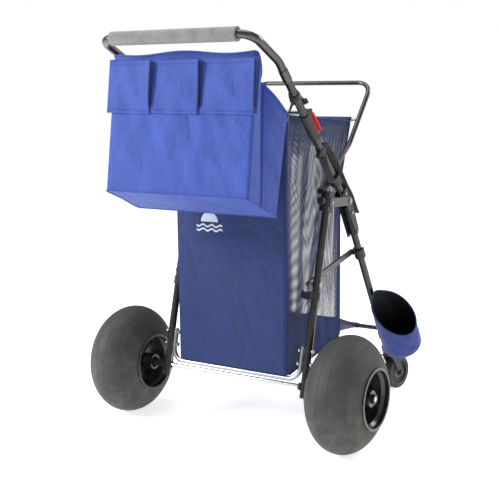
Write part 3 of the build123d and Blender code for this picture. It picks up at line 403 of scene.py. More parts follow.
def mesh_look():
    """Open netting with solid bands: the band attribute is positive where the cloth is solid, and
    elsewhere the holes are where the product of two slanted sines is high."""
    made, tree, shader = start("open netting", Sheen_Weight=0.04, Specular_IOR_Level=0.25, Roughness=0.75)
    uv = uv_vector(tree)
    band = tree.nodes.new("ShaderNodeAttribute")
    band.attribute_name = "band"
    solid = ramp(tree, band.outputs["Fac"], -0.0006, 0.0006)
    u, v, _ = split(tree, uv)
    pitch = math.pi / 0.0062
    dense = tree.nodes.new("ShaderNodeAttribute")
    dense.attribute_name = "dense"
    slant = calc(tree, "MULTIPLY", calc(tree, "ADD", u, v), pitch)
    other = calc(tree, "MULTIPLY", calc(tree, "SUBTRACT", u, v), pitch)
    weave_height = calc(tree, "MULTIPLY", calc(tree, "SINE", slant), calc(tree, "SINE", other))
    open_share = calc(tree, "ADD", calc(tree, "ABSOLUTE", weave_height),
                      calc(tree, "MULTIPLY", dense.outputs["Fac"], -0.50))
    cover = ramp(tree, open_share, 0.36, 0.50, 1.0, 0.0)
    out = use_group(tree, weave, uv, Threads=900.0)
    blue = blend_colour(tree, ramp(tree, out["Tone"], 0.3, 0.7), (0.010, 0.020, 0.080), (0.022, 0.042, 0.160))
    yarn = blend_colour(tree, noise(tree, uv, 40.0), (0.012, 0.020, 0.060), (0.050, 0.066, 0.140))
    tree.links.new(blend_colour(tree, solid, yarn, blue), shader.inputs["Base Color"])
    tree.links.new(calc(tree, "MAXIMUM", cover, solid), shader.inputs["Alpha"])
    height = calc(tree, "ADD", calc(tree, "MULTIPLY", out["Height"], solid), cover)
    creases = bump(tree, noise(tree, uv, 12.0, 4.0, 0.6), 0.006, 0.5)
    tree.links.new(bump(tree, height, 0.0004, 0.6, creases), shader.inputs["Normal"])
    return made


def webbing_look():
    """Woven strap: ribs along its length and a herringbone between them."""
    made, tree, shader = start("black webbing", Sheen_Weight=0.4, Sheen_Roughness=0.4, Roughness=0.78)
    u, v, _ = split(tree, uv_vector(tree))
    rib = calc(tree, "ABSOLUTE", calc(tree, "SINE", calc(tree, "MULTIPLY", v, 1700.0)))
    pick = calc(tree, "ABSOLUTE", calc(tree, "SINE", calc(tree, "ADD", calc(tree, "MULTIPLY", u, 2400.0),
                                                         calc(tree, "MULTIPLY", rib, 1.6))))
    tree.links.new(blend_colour(tree, pick, (0.010, 0.010, 0.011), (0.034, 0.034, 0.036)), shader.inputs["Base Color"])
    tree.links.new(bump(tree, calc(tree, "ADD", rib, pick), 0.0003, 0.8), shader.inputs["Normal"])
    return made


BLUE, BLUE_DARK = (0.033, 0.072, 0.35), (0.023, 0.050, 0.25)
looks["blue_cloth"] = cloth_look("royal blue nylon", BLUE, BLUE_DARK)
looks["pouch_cloth"] = cloth_look("pouch nylon", (0.026, 0.052, 0.24), (0.019, 0.038, 0.18))
# Near-black cloth on the inner faces of the tote and pouch.
looks["lining_cloth"] = cloth_look("near-black inner cloth", (0.0035, 0.0035, 0.0045), (0.002, 0.002, 0.003), sheen=0.02)
# Painted shade: the panel's navy is partly its own dye and partly the shade under the tote, darkened into these
# colours.
looks["panel_cloth"] = cloth_look("navy panel nylon with painted shade", (0.0095, 0.026, 0.122), (0.007, 0.019, 0.086), emblem=True)
looks["apron_cloth"] = cloth_look("navy apron nylon", (0.009, 0.022, 0.095), (0.006, 0.016, 0.068))
looks["mesh_cloth"] = mesh_look()
looks["black_webbing"] = webbing_look()
wheel_low, wheel_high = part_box("tyre_right")
wheel_mid = [(a + b) / 2 for a, b in zip(wheel_low, wheel_high)]
for label, sign in (("right", 1), ("left", -1)):
    looks["tyre_" + label] = tyre_look("tyre rubber " + label, (sign * wheel_mid[0], wheel_mid[1], wheel_mid[2]),
                                       0.0, (0.012, 0.052), (0.040, 0.041, 0.040))
    low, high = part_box("caster_wheel_" + label)
    mid = [(a + b) / 2 for a, b in zip(low, high)]
    looks["caster_" + label] = tyre_look("caster rubber " + label, mid, math.radians(-12.0), (),
                                         (0.030, 0.030, 0.031), [(0.0125, 0.0175, (0.20, 0.20, 0.20))])

slots = {entry["node"]: entry["material_slot"] for entry in RECORD["subparts"]}
special = {"handle_bow": "bow_paint", "tube_sleeves": "bow_paint", "tyre_right": "tyre_right", "tyre_left": "tyre_left",
           "caster_wheel_right": "caster_right", "caster_wheel_left": "caster_left"}
for node, piece in frame["nodes"].items():
    finish = looks[special.get(node, slots[node])]
    if piece.material_slots:
        for held in piece.material_slots:
            held.material = finish
    else:
        piece.data.materials.append(finish)


def surface(name, points, look, body=None, around=False, closed=False, wall=0.0, bands=None, dense=None,
            lining=None):
    """A grid of points (rows, columns, 3) in millimetres made into a quad mesh, with a UV map in
    metres along rows and columns. around joins the last column to the first, closed the rows."""
    rows, columns = points.shape[:2]
    step_u = np.linalg.norm(np.diff(points, axis=1), axis=2).mean(axis=0)
    step_v = np.linalg.norm(np.diff(points, axis=0), axis=2).mean(axis=1)
    along_u = np.concatenate([[0], np.cumsum(step_u)]) * 0.001
    along_v = np.concatenate([[0], np.cumsum(step_v)]) * 0.001
    last_u = along_u[-1] + float(np.linalg.norm(points[:, -1] - points[:, 0], axis=1).mean()) * 0.001
    last_v = along_v[-1] + float(np.linalg.norm(points[-1] - points[0], axis=1).mean()) * 0.001
    i = np.arange(rows - (0 if closed else 1))
    j = np.arange(columns - (0 if around else 1))
    ii, jj = np.meshgrid(i, j, indexing="ij")
    i2, j2 = (ii + 1) % rows, (jj + 1) % columns
    faces = np.stack([ii * columns + jj, ii * columns + j2, i2 * columns + j2, i2 * columns + jj], -1).reshape(-1, 4)
    data = bpy.data.meshes.new(name)
    data.vertices.add(rows * columns)
    data.vertices.foreach_set("co", place(points.reshape(-1, 3)).astype(np.float32).ravel())
    data.loops.add(faces.size)
    data.loops.foreach_set("vertex_index", faces.ravel().astype(np.int32))
    data.polygons.add(len(faces))
    data.polygons.foreach_set("loop_start", np.arange(0, faces.size, 4, dtype=np.int32))
    u_near, v_near = along_u[jj], along_v[ii]
    u_far = np.where(jj + 1 < columns, along_u[np.minimum(jj + 1, columns - 1)], last_u)
    v_far = np.where(ii + 1 < rows, along_v[np.minimum(ii + 1, rows - 1)], last_v)
    uv = np.stack([np.stack([u_near, v_near], -1), np.stack([u_far, v_near], -1),
                   np.stack([u_far, v_far], -1), np.stack([u_near, v_far], -1)], axis=2).reshape(-1, 2)
    layer = data.uv_layers.new(name="UVMap")
    layer.data.foreach_set("uv", uv.astype(np.float32).ravel())
    data.update(calc_edges=True)
    data.validate()
    data.polygons.foreach_set("use_smooth", np.ones(len(data.polygons), dtype=bool))
    if bands is not None:
        held = data.attributes.new("band", "FLOAT", "POINT")
        held.data.foreach_set("value", (bands.reshape(-1) * 0.001).astype(np.float32))
        held = data.attributes.new("dense", "FLOAT", "POINT")
        held.data.foreach_set("value", dense.reshape(-1).astype(np.float32))
    made = bpy.data.objects.new(name, data)
    bpy.context.scene.collection.objects.link(made)
    data.materials.append(looks[look])
    if wall:
        thick = made.modifiers.new("wall", "SOLIDIFY")
        thick.thickness = wall * 0.001
        thick.offset = -1.0
        if lining:
            data.materials.append(looks[lining])
            thick.material_offset = 1
    if body:
        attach(made, body)
    return made


def frames_along(path):
    """Tangent and two crossing directions at each point of a path, carried along without twist."""
    path = np.asarray(path, float)
    tangent = np.gradient(path, axis=0)
    tangent /= np.linalg.norm(tangent, axis=1)[:, None]
    first = np.cross(tangent[0], [0.3, 0.2, 0.93])
    sides = [first / np.linalg.norm(first)]
    for k in range(1, len(path)):
        carried = sides[-1] - tangent[k] * (sides[-1] @ tangent[k])
        sides.append(carried / np.linalg.norm(carried))
    sides = np.array(sides)
    return tangent, sides, np.cross(tangent, sides)


def piping(name, path, radius, look, body, flat=1.0, sides=10):
    """A round or flattened cord of cloth along a path, its ends drawn in to a point."""
    path = np.asarray(path, float)
    _, one, two = frames_along(path)
    angle = np.linspace(0, 2 * np.pi, sides, endpoint=False)
    size = np.ones(len(path)) * radius
    size[0] = size[-1] = radius * 0.02
    ring = (np.cos(angle)[None, :, None] * one[:, None, :] + flat * np.sin(angle)[None, :, None] * two[:, None, :])
    return surface(name, path[:, None, :] + ring * size[:, None, None], look, body, around=True)


def strap(name, path, across, width, thick, body, look="black_webbing"):
    """Flat webbing: a thin rounded rectangle carried along a path, its width along one direction."""
    path = np.asarray(path, float)
    tangent = np.gradient(path, axis=0)
    tangent /= np.linalg.norm(tangent, axis=1)[:, None]
    wide = np.broadcast_to(np.asarray(across, float), path.shape)
    wide = wide - tangent * np.sum(wide * tangent, axis=1)[:, None]
    wide /= np.linalg.norm(wide, axis=1)[:, None]
    out = np.cross(tangent, wide)
    w, h = width / 2, thick / 2
    outline = np.array([(-w, -h * 0.5), (-w * 0.96, -h), (-w * 0.5, -h), (0, -h), (w * 0.5, -h), (w * 0.96, -h),
                        (w, -h * 0.5), (w, h * 0.5), (w * 0.96, h), (w * 0.5, h), (0, h), (-w * 0.5, h),
                        (-w * 0.96, h), (-w, h * 0.5)])
    ends = np.ones(len(path))
    path = np.vstack([path[:1], path, path[-1:]])
    wide, out = np.vstack([wide[:1], wide, wide[-1:]]), np.vstack([out[:1], out, out[-1:]])
    ends = np.concatenate([[0.01], ends, [0.01]])
    points = path[:, None, :] + ends[:, None, None] * (outline[None, :, :1] * wide[:, None, :]
                                                       + outline[None, :, 1:] * out[:, None, :])
    return surface(name, points, look, body, around=True)


def smooth_path(points, count):
    """A Catmull-Rom curve through the points, evenly divided by length."""
    points = np.asarray(points, float)
    padded = np.vstack([2 * points[0] - points[1], points, 2 * points[-1] - points[-2]])
    t = np.linspace(0, 1, 24, endpoint=False)[:, None]
    pieces = []
    for k in range(len(points) - 1):
        a, b, c, d = padded[k:k + 4]
        pieces.append(0.5 * (2 * b + (c - a) * t + (2 * a - 5 * b + 4 * c - d) * t**2 + (3 * b - a - 3 * c + d) * t**3))
    dense = np.vstack(pieces + [points[-1:]])
    reach = np.concatenate([[0], np.cumsum(np.linalg.norm(np.diff(dense, axis=0), axis=1))])
    wanted = np.linspace(0, reach[-1], count)
    return np.stack([np.interp(wanted, reach, dense[:, k]) for k in range(3)], axis=1)


def bell(value, centre, width):
    return np.exp(-((value - centre) / width) ** 2)


# ---- storage bag -------------------------------------------------------------------------------
BAG_X, BAG_REAR, BAG_FRONT, CORNER = 170.0, -6.0, 298.0, 12.0
ROD_REAR, ROD_FRONT = (-3.0, 846.8), (363.2, 814.0)


def bag_point(u, q, t):
    """Bag wall: u from -1 to 1 across, q from 0 at the rear to 1 at the front, t from 0 at the floor
    to 1 at the rods. Walls sag between the rods and the floor, and the sides fold inwards in
    soft upright pleats that are drawn together at the side tie."""
    low = 174.0 + 38.0 * q
    high = 840.0 - 30.0 * q
    z = low + t * (high - low)
    front = BAG_FRONT + np.clip(z - 640.0, 0, None) / 170.0 * 63.0
    y = BAG_REAR + q * (front - BAG_REAR)
    hold = np.sin(np.pi * np.clip(t, 0, 1)) ** 0.7
    pleat = np.cos(2 * np.pi * (2.6 * q + 0.10 * np.sin(4 * t))) + 0.5 * np.cos(2 * np.pi * (5.1 * q + 0.3 + 0.2 * t))
    tie = bell(y, 62.0, 60.0) * bell(z, 378.0, 90.0)
    depth = hold * np.sin(np.pi * q) ** 0.6 * (7.0 + 4.5 * pleat) * (1 - tie) - 1.5 * tie
    x = u * (BAG_X - depth * np.abs(u) ** 6)
    belly = 3.5 * np.sin(np.pi * (u + 1) / 2) * hold
    ripple = 1.6 * np.sin(7.5 * u + 2.0 * np.sin(5 * t)) * hold * (1 - np.abs(u) ** 4)
    y = y + np.where(q < 0.5, -1.0, 1.0) * np.abs(2 * q - 1) ** 8 * (belly + ripple) * np.where(q < 0.5, 0.6, 1.0)
    return np.stack([x, y, z], axis=-1)


bend = np.linspace(0, np.pi / 2, 7)[1:-1]
side_q = np.linspace(0.045, 0.955, 64)
corner_u, corner_q = 1 - 0.06 * (1 - np.sin(bend)), 0.045 * (1 - np.cos(bend))
heights = np.linspace(0, 1, 110)

rear_u = np.concatenate([[-1], -corner_u[::-1], np.linspace(-0.93, 0.93, 72), corner_u, [1]])
rear_q = np.concatenate([[0.045], corner_q[::-1], np.zeros(72), corner_q, [0.045]])
uu, tt = np.meshgrid(rear_u, heights)
qq, _ = np.meshgrid(rear_q, heights)
wall = bag_point(uu, qq, tt)
turns = np.radians(np.linspace(190, -60, 16))
rod_y, rod_z = ROD_REAR
sleeve = np.stack([np.broadcast_to(wall[-1, :, 0], (16, wall.shape[1])),
                   np.broadcast_to(rod_y + 7.2 * np.cos(turns)[:, None], (16, wall.shape[1])),
                   np.broadcast_to(rod_z + 7.2 * np.sin(turns)[:, None], (16, wall.shape[1]))], axis=-1).copy()
keep = np.abs(rear_q) < 1e-6
sleeve = sleeve[:, keep]
floor_q = np.linspace(0, 1, 60)
floor_u = rear_u[keep]
fu, fq = np.meshgrid(floor_u, floor_q)
floor_grid = np.stack([fu * BAG_X, BAG_REAR + fq * (BAG_FRONT - BAG_REAR),
                       174.0 + 38.0 * fq - 3.0 * np.sin(np.pi * fq) * (1 - fu**2)], axis=-1)
bag_rear = surface("bag_rear_panel", wall, "panel_cloth", wall=1.2)
bag_sleeve = surface("bag_rear_sleeve", sleeve, "panel_cloth", "main_frame", wall=1.0)
bag_base = surface("bag_base", floor_grid[:, ::-1], "panel_cloth", "main_frame", wall=1.4)

loop_u = np.concatenate([np.ones(64), corner_u[::-1], np.linspace(0.93, -0.93, 72), -corner_u, -np.ones(64)])
loop_q = np.concatenate([side_q, 1 - corner_q[::-1], np.ones(72), 1 - corner_q, side_q[::-1]])
uu, tt = np.meshgrid(loop_u, heights)
qq, _ = np.meshgrid(loop_q, heights)
net = bag_point(uu, qq, tt)
x, y, z = net[..., 0], net[..., 1], net[..., 2]
on_side = qq < 0.97
base_edge = np.where(on_side, 344.0 - 78.0 * np.clip(qq, 0, 1) ** 0.8, 262.0)
top_edge = np.where(on_side, 790.0 - 38.0 * np.abs(np.sin(np.pi * (1.5 * qq + 0.18))) - 20 * (1 - qq), 752.0)
upright = np.where(on_side, np.maximum(14.0 - (1 - qq) * 305, 9.0 - qq * 305), 12.0 - (170.0 - np.abs(x)))
stripe_a = 19.0 - np.abs(y - (62.0 + 50.0 * np.clip((z - 378.0) / 400.0, -0.25, 1)))
stripe_b = 14.0 + 16.0 * (z - 378.0) / 400.0 - np.abs(y - (120.0 + 120.0 * np.clip((z - 378.0) / 400.0, 0, 1)))
stripe_c = np.maximum(22.0 - y, y - 262.0)
folds = np.where(on_side & (z > 250), np.maximum.reduce([stripe_a, stripe_b, stripe_c]), -50.0)
hem_edge = np.where(on_side, 826.0 - 30.0 * qq, 796.0)
band = np.maximum.reduce([base_edge - z, z - hem_edge, upright])
dense = np.maximum(np.clip((z - top_edge) / 16.0 + 0.5, 0, 1), np.clip(folds / 8.0 + 0.5, 0, 1)) * 0.9
bag_net = surface("bag_netting", net, "mesh_cloth", bands=band, dense=dense)

rod_y, rod_z = ROD_FRONT
turns = np.radians(np.linspace(-60, 195, 16))
across_x = np.linspace(-168, 168, 60)
front_sleeve = np.stack([np.broadcast_to(across_x, (16, 60)),
                         np.broadcast_to((rod_y + 6.4 * np.cos(turns))[:, None], (16, 60)),
                         np.broadcast_to((rod_z + 6.4 * np.sin(turns))[:, None], (16, 60))], axis=-1)
front_hem = surface("bag_front_sleeve", front_sleeve, "panel_cloth", "rack", wall=1.0)

bindings, panel_tapes, base_tapes = [], [], []
for label, sign in (("right", 1), ("left", -1)):
    q_run = np.linspace(0.02, 0.98, 60)
    top_run = bag_point(np.full(60, 1.0), q_run, np.ones(60)) * [sign, 1, 1]
    bindings.append(piping("bag_rim_tape_" + label, top_run, 3.4, "panel_cloth", None, flat=0.5))
    base_run = bag_point(np.full(60, 1.0), q_run, np.zeros(60)) * [sign, 1, 1]
    base_tapes.append(piping("bag_base_tape_" + label, base_run, 2.4, "panel_cloth", "main_frame"))
    t_run = np.linspace(0.0, 1.0, 80)
    rear_run = bag_point(np.full(80, 0.985), np.full(80, 0.012), t_run) * [sign, 1, 1]
    panel_tapes.append(piping("bag_corner_tape_" + label, rear_run, 2.2, "panel_cloth", "main_frame"))
    front_run = bag_point(np.full(80, 0.99), np.full(80, 0.985), t_run) * [sign, 1, 1]
    bindings.append(piping("bag_front_tape_" + label, front_run, 2.6, "panel_cloth", None))
for piece in bindings + [bag_net]:
    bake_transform(piece)
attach(bag_rear, "main_frame")
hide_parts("bag_rear")
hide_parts("bag_floor")
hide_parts("bag_sides", "bag_front")

# ---- tote bag ----------------------------------------------------------------------------------
TOTE_X = 208.5


def tote_rear(t):
    """The tote's rear wall, from its floor at t = 0 to its rim at t = 1, as (y, z)."""
    return -249.0 + 50.0 * t, 661.0 + 330.0 * t


def tote_point(u, q, t):
    """Tote wall: u across, q from rear to front, t up. The floor tips down to the front and the
    rim runs down under the upper tubes. The rear wall has long slanting creases, and each side
    wall folds inwards along its middle, most at the rim."""
    ry, rz = tote_rear(t)
    fy, fz = -119.0 + 55.0 * t, 603.0 + 236.0 * t
    y = ry + q * (fy - ry)
    z = rz + q * (fz - rz)
    middle_fold = np.exp(-np.abs(q - 0.45) / 0.26) - 0.17
    depth = np.abs(u) ** 8 * middle_fold * (7.0 + 34.0 * t**1.1)
    x = u * (TOTE_X - depth)
    swell = np.sin(np.pi * np.clip(t, 0, 1)) * (1 - u**2)
    crease = 2.2 * np.sin(6.0 * u + 4.0 * t) * np.sin(np.pi * t) + 1.5 * np.sin(13.0 * u - 7.0 * t) * t * (1 - t) * 4
    crease += 1.2 * np.sin(21.0 * u + 15.0 * t + 3.0 * u * t) * np.sin(np.pi * t)
    y = y + np.where(q < 0.5, -1.0, 1.0) * np.abs(2 * q - 1) ** 6 * (3.5 * swell + 0.9 * crease * (1 - u**4))
    z = z + np.where(t > 0.97, 4.0 * np.cos(5.0 * u) * np.abs(2 * q - 1) ** 4, 0.0) * (t - 0.97) / 0.03
    return np.stack([x, y, z], axis=-1)


side_q = np.linspace(0.05, 0.95, 34)
corner_u, corner_q = 1 - 0.05 * (1 - np.sin(bend)), 0.05 * (1 - np.cos(bend))
loop_u = np.concatenate([np.linspace(-0.94, 0.94, 90), corner_u, np.ones(34), corner_u[::-1],
                         np.linspace(0.94, -0.94, 90), -corner_u, -np.ones(34), -corner_u[::-1]])
loop_q = np.concatenate([np.zeros(90), corner_q, side_q, 1 - corner_q[::-1], np.ones(90), 1 - corner_q,
                         side_q[::-1], corner_q[::-1]])
uu, tt = np.meshgrid(loop_u, np.linspace(0, 1, 96))
qq, _ = np.meshgrid(loop_q, np.linspace(0, 1, 96))
tote = surface("tote_shell", tote_point(uu, qq, tt), "blue_cloth", "main_frame", around=True, wall=1.3,
               lining="lining_cloth")
fu, fq = np.meshgrid(np.linspace(-0.998, 0.998, 90), np.linspace(0.004, 0.996, 40))
under = tote_point(fu, fq, np.zeros_like(fu))
under[..., 0] = fu * TOTE_X
under[..., 1] = -249.0 + fq * 130.0
under[..., 2] = 661.0 - 58.0 * fq - 4.0 * np.sin(np.pi * fq) * (1 - fu**2)
tote_floor = surface("tote_base", under[:, ::-1], "blue_cloth", "main_frame", wall=1.3)
rim_points = tote_point(loop_u, loop_q, np.ones_like(loop_u))
rim_points = np.vstack([rim_points, rim_points[:1]])
tote_tapes = [piping("tote_rim_tape", rim_points, 2.6, "blue_cloth", "main_frame")]
base_points = tote_point(loop_u, loop_q, np.zeros_like(loop_u))
base_points = np.vstack([base_points, base_points[:1]])
base_seam = piping("tote_base_seam", base_points, 1.9, "blue_cloth", "main_frame")
for label, sign in (("right", 1), ("left", -1)):
    pleat = tote_point(np.full(40, 1.0), np.full(40, 0.5), np.linspace(0.02, 0.98, 40)) * [sign, 1, 1]
    tote_tapes.append(piping("tote_side_crease_" + label, pleat + [sign * 0.6, 0, 0], 1.1, "blue_cloth",
                             "main_frame"))
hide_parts("tote_body")

# three flat pockets: each stands out further towards its right edge, and its lower hem is sewn down
POCKET_X, POCKET_LOW, POCKET_HIGH = 217.5, 851.0, 974.0
edges = (-POCKET_X, -80.0, 60.0, POCKET_X - 4)


def on_tote(x, z, off):
    """A point on the tote's creased rear wall at x and z, stood off rearwards."""
    t = (z - 661.0) / 330.0
    wall_y = tote_point(np.clip(x / TOTE_X, -1, 1), np.zeros_like(x), t)[..., 1]
    return np.stack([x, wall_y - off * 0.989, z + off * 0.15], axis=-1)


for k in range(3):
    s = np.concatenate([[0, 0.004], np.linspace(0.012, 0.985, 60), [0.994, 1.0]])
    r = np.concatenate([[0, 0.006], np.linspace(0.02, 1.0, 48)])
    ss, rr = np.meshgrid(s, r)
    left_x, right_x = edges[k] + 0.8, edges[k + 1] - 0.8
    px = left_x + ss * (right_x - left_x)
    pz = POCKET_LOW + rr * (POCKET_HIGH - POCKET_LOW) - 3.0 * ss * (1 - rr) + 2.5 * np.sin(np.pi * ss) * (rr > 0.98)
    lift = 3.0 + 12.5 * ss**2.2 * (0.25 + 0.75 * rr) + 3.5 * np.sin(np.pi * ss) * np.sin(np.pi * rr)
    lift += 0.9 * np.sin(9 * ss + 5 * rr + k) * np.sin(np.pi * ss)
    gate = np.clip(np.minimum(ss / 0.012, (1 - ss) / 0.012), 0, 1) * np.clip(rr / 0.02, 0, 1)
    lift = 2.4 + (lift - 2.4) * gate
    lift -= 0.8 * bell(rr, 0.06, 0.012) + 0.8 * bell(rr, 0.94, 0.010)
    pocket = surface(f"tote_pocket_{k + 1}", on_tote(px, pz, np.clip(lift, 2.4, None)), "blue_cloth",
                     "main_frame", wall=1.0)
    if k == 0:
        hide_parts("tote_pockets")
    for height, tag in ((0.06, "low"), (0.94, "high")):
        sx = np.linspace(0.03, 0.97, 60)
        line_x = left_x + sx * (right_x - left_x)
        line_z = POCKET_LOW + height * (POCKET_HIGH - POCKET_LOW) - 3.0 * sx * (1 - height)
        base = 3.0 + 12.5 * sx**2.2 * (0.25 + 0.75 * height) + 3.5 * np.sin(np.pi * sx) * np.sin(np.pi * height)
        base += 0.9 * np.sin(9 * sx + 5 * height + k) * np.sin(np.pi * sx)
        piping(f"pocket_{k + 1}_stitch_{tag}", on_tote(line_x, line_z, base - 0.1), 0.7,
                               "blue_cloth", "main_frame", sides=6)
    # Painted shade: a near-black cord along each pocket's open edge darkens the gap behind it.
    slit_z = np.linspace(POCKET_LOW + 14, POCKET_HIGH - 4, 30)
    slit_r = (slit_z - POCKET_LOW) / (POCKET_HIGH - POCKET_LOW)
    slit = on_tote(np.full(30, edges[k + 1] + 0.6), slit_z, 3.4 + 11.5 * (0.25 + 0.75 * slit_r))
    piping(f"pocket_{k + 1}_shade_gap", slit, 2.2, "lining_cloth", "main_frame", flat=0.6)
bx, bz = np.meshgrid(np.linspace(-POCKET_X, POCKET_X, 80), np.linspace(POCKET_LOW, POCKET_HIGH + 6, 30))
backing = surface("pocket_backing", on_tote(bx, bz, np.full_like(bx, 1.2)), "blue_cloth",
                  "main_frame", wall=0.8)

# ---- bag apron and leg pouch --------------------------------------------------------------------
cross_low, cross_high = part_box("cross_bar")
bar_y = ((cross_low[1] + cross_high[1]) / 2 - AXLE_Y) * 1000
bar_z = (cross_low[2] + cross_high[2]) / 2 * 1000
across_u = np.linspace(-1, 1, 70)
run = np.linspace(0, 1, 40)
au, ar = np.meshgrid(across_u, run)
half_width = 166.0 - 22.0 * ar
apron = np.stack([au * half_width, 301.0 + ar * (bar_y - 306.0),
                  212.5 + ar * (bar_z - 219.0) - 7.0 * np.sin(np.pi * ar) * (1 - au**2)
                  + (46.0 - 44.0 * ar) * np.abs(au) ** 14], axis=-1)
apron_piece = surface("bag_apron_sheet", apron, "apron_cloth", "main_frame", wall=1.2)
turns = np.linspace(0, 2 * np.pi, 28, endpoint=False)
hem_x = np.linspace(-144, 144, 60)
hem = np.stack([np.broadcast_to(hem_x[:, None], (60, 28)),
                np.broadcast_to(bar_y + 8.0 * np.cos(turns), (60, 28)),
                bar_z + 8.0 * np.sin(turns) + 0.5 * np.sin(hem_x / 17.0)[:, None]], axis=-1)
apron_tapes = [surface("bag_apron_hem", hem, "apron_cloth", "main_frame", around=True, wall=0.8)]
for label, sign in (("right", 1), ("left", -1)):
    side_run = np.linspace(0, 1, 40)
    line = np.column_stack([sign * (166.0 - 22.0 * side_run), 301.0 + side_run * (bar_y - 306.0),
                            258.5 + side_run * (bar_z - 258.5 + 3.0)])
    apron_tapes.append(piping("apron_edge_" + label, line, 2.0, "apron_cloth", "main_frame"))
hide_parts("bag_apron")

FRONT_DOWN = np.array([0, math.sin(math.radians(30.8)), -math.cos(math.radians(30.8))])
FRONT_OUT = np.array([0, math.cos(math.radians(30.8)), math.sin(math.radians(30.8))])
HINGE = np.array([216.0, 229.0, 605.0])
POUCH_R = 58.0
pouch_way = np.array([math.cos(math.radians(20)), 0, 0]) - FRONT_OUT * math.sin(math.radians(20))
pouch_square = np.cross(FRONT_DOWN, pouch_way)


def pouch_point(turn, down, radius):
    """A point of the pouch: turn round its axis from the side away from the leg, down the leg."""
    around = np.cos(turn)[..., None] * pouch_way + np.sin(turn)[..., None] * pouch_square
    return HINGE + pouch_way * 76.5 + FRONT_DOWN * down[..., None] + around * radius[..., None]


def pouch_mouth(turn):
    """Down the leg to the mouth's edge: highest in a point beside the leg, lowest away from it."""
    away = np.cos((turn - np.pi) / 2) ** 2
    return 424.0 - 96.0 * away - 10.0 * np.exp(-((turn - np.pi) / 0.35) ** 2)


turn_grid, depth_grid = np.meshgrid(np.linspace(0, 2 * np.pi, 72, endpoint=False), np.linspace(0, 1, 60))
mouth_at = pouch_mouth(turn_grid)
wall_run = np.clip(depth_grid / 0.78, 0, 1)
corner_run = np.clip((depth_grid - 0.78) / 0.22, 0, 1) * np.pi / 2
down_at = mouth_at + (488.0 - mouth_at) * wall_run + 27.0 * np.sin(corner_run)
slack = 1.5 * np.sin(3 * turn_grid + 5 * wall_run) * np.sin(np.pi * wall_run)
slack += 1.0 * np.sin(7 * turn_grid - 4 * wall_run) * np.sin(np.pi * wall_run)
wide_at = (POUCH_R - 1.0 + slack * 0.8) - 28.0 * (1 - np.cos(corner_run))
pouch = surface("leg_pouch_shell", pouch_point(turn_grid, down_at, wide_at), "pouch_cloth",
                "main_frame", around=True, wall=1.4, lining="lining_cloth")
cap_turn, cap_run = np.meshgrid(np.linspace(0, 2 * np.pi, 72, endpoint=False), np.linspace(1, 0.001, 14))
pouch_cap = surface("leg_pouch_end", pouch_point(cap_turn, 515.0 - 3.0 * (1 - cap_run**2), 29.0 * cap_run),
                    "pouch_cloth", "main_frame", around=True, wall=1.4, lining="lining_cloth")
rim_turn = np.linspace(0, 2 * np.pi, 90)
pouch_rim = piping("leg_pouch_rim", pouch_point(rim_turn, pouch_mouth(rim_turn), np.full(90, POUCH_R - 1.4)), 2.0, "pouch_cloth",
       "main_frame")
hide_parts("leg_pouch")
for piece in (pouch, pouch_cap, pouch_rim):
    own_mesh(piece)

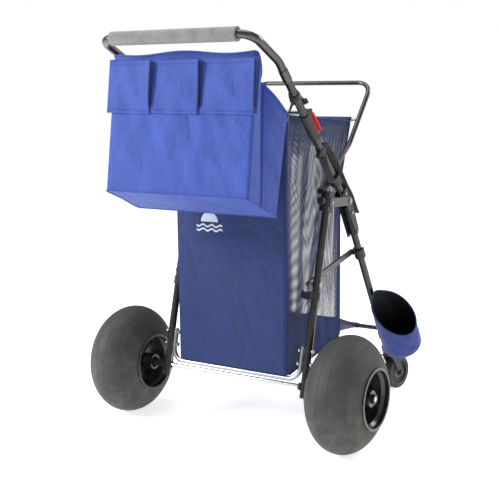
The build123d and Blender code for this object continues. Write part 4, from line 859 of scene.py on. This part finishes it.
# ---- webbing -----------------------------------------------------------------------------------
for label, sign in (("right", 1), ("left", -1)):
    across = [1, 0, 0]

    def at(run):
        return np.array(run, float) * [sign, 1, 1]

    over = smooth_path(at([(216, 96, 768), (216, 118, 752), (216, 150, 722), (216, 184, 684), (216, 214, 650),
                           (216, 243, 622), (216, 262, 596), (216, 284, 566)]), 60)
    cover = strap("hinge_strap_" + label, over, across, 34.0, 2.4, "main_frame")
    if label == "right":
        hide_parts("hinge_straps")
    under_run = smooth_path(at([(216, 96, 768), (217, 92, 748), (218, 108, 712), (218, 134, 678), (217, 150, 662),
                                (216, 166, 668)]), 40)
    strap("hinge_strap_tail_" + label, under_run, across, 22.0, 1.6, "main_frame")
    turns = np.linspace(0, 2 * np.pi, 33)
    tie_at, tie_dir = np.array([216.0 * sign, 61.5, 377.9]), np.array([0, 0.2605, 0.9655])
    tie_out = np.array([0, 0.9655, -0.2605])
    ring = tie_at + 11.6 * (np.cos(turns)[:, None] * tie_out + np.sin(turns)[:, None] * np.array([1.0, 0, 0]))
    looped = strap("side_tie_loop_" + label, ring, tie_dir, 22.0, 1.8, "rear_frame")
    strap("side_tie_" + label, smooth_path(at([(205, 61.5, 378), (192, 60, 375), (180, 61, 377), (173, 62, 378)]), 20),
          [0, 0.2, 1], 20.0, 1.8, "rear_frame")
    if label == "right":
        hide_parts("side_ties")
    up_dir = np.array([0, -0.6921, 0.7218])
    loop_at = np.array([216.0 * sign, 229.0, 605.0]) + up_dir * 390.0
    up_out = np.array([0, 0.7218, 0.6921])
    ring = loop_at + 11.8 * (np.cos(turns)[:, None] * up_out + np.sin(turns)[:, None] * np.array([1.0, 0, 0]))
    hanger = strap("tote_loop_" + label, ring, up_dir, 15.0, 1.8, "main_frame")
    drop = smooth_path(at([(216, -50, 876), (213, -56, 862), (209, -61, 846), (206, -63, 828)]), 24)
    strap("tote_hanger_" + label, drop, [0, 0.5, 0.85], 14.0, 1.8, "main_frame")
    if label == "right":
        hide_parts("tote_loops")
    sling = smooth_path(at([(210, -36, 866), (205, -44, 892), (203, -20, 900), (204, 14, 884), (206, 30, 866)]), 40)
    strap("clip_strap_" + label, sling, [0.2, 0.7, -0.7], 18.0, 1.6, "main_frame")
strap_at = HINGE + FRONT_DOWN * 497.0
turns = np.linspace(0, 2 * np.pi, 33)
ring = strap_at + 11.6 * (np.cos(turns)[:, None] * FRONT_OUT + np.sin(turns)[:, None] * np.array([1.0, 0, 0]))
leg_loop = strap("pouch_strap_loop", ring, FRONT_DOWN, 20.0, 1.8, "main_frame")
reach = np.linspace(11.0, 19.5, 8)
strap("pouch_strap_link", strap_at + reach[:, None] * pouch_way, FRONT_DOWN, 18.0, 3.0, "main_frame")
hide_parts("pouch_strap")

# ---- floor -------------------------------------------------------------------------------------
floor_data = bpy.data.meshes.new("floor")
floor_data.from_pydata([(-14, -14, 0), (14, -14, 0), (14, 14, 0), (-14, 14, 0)], [], [(0, 1, 2, 3)])
floor_piece = bpy.data.objects.new("floor", floor_data)
bpy.context.scene.collection.objects.link(floor_piece)
pale, pale_tree, pale_shader = start("pale floor", Roughness=0.9)
tone = noise(pale_tree, object_vector(pale_tree), 3.0)
pale_tree.links.new(blend_colour(pale_tree, tone, (0.88, 0.88, 0.88), (0.92, 0.92, 0.92)), pale_shader.inputs["Base Color"])
pale_shader.inputs["Emission Color"].default_value = (1.0, 1.0, 1.0, 1.0)
pale_shader.inputs["Emission Strength"].default_value = 0.70
floor_data.materials.append(pale)
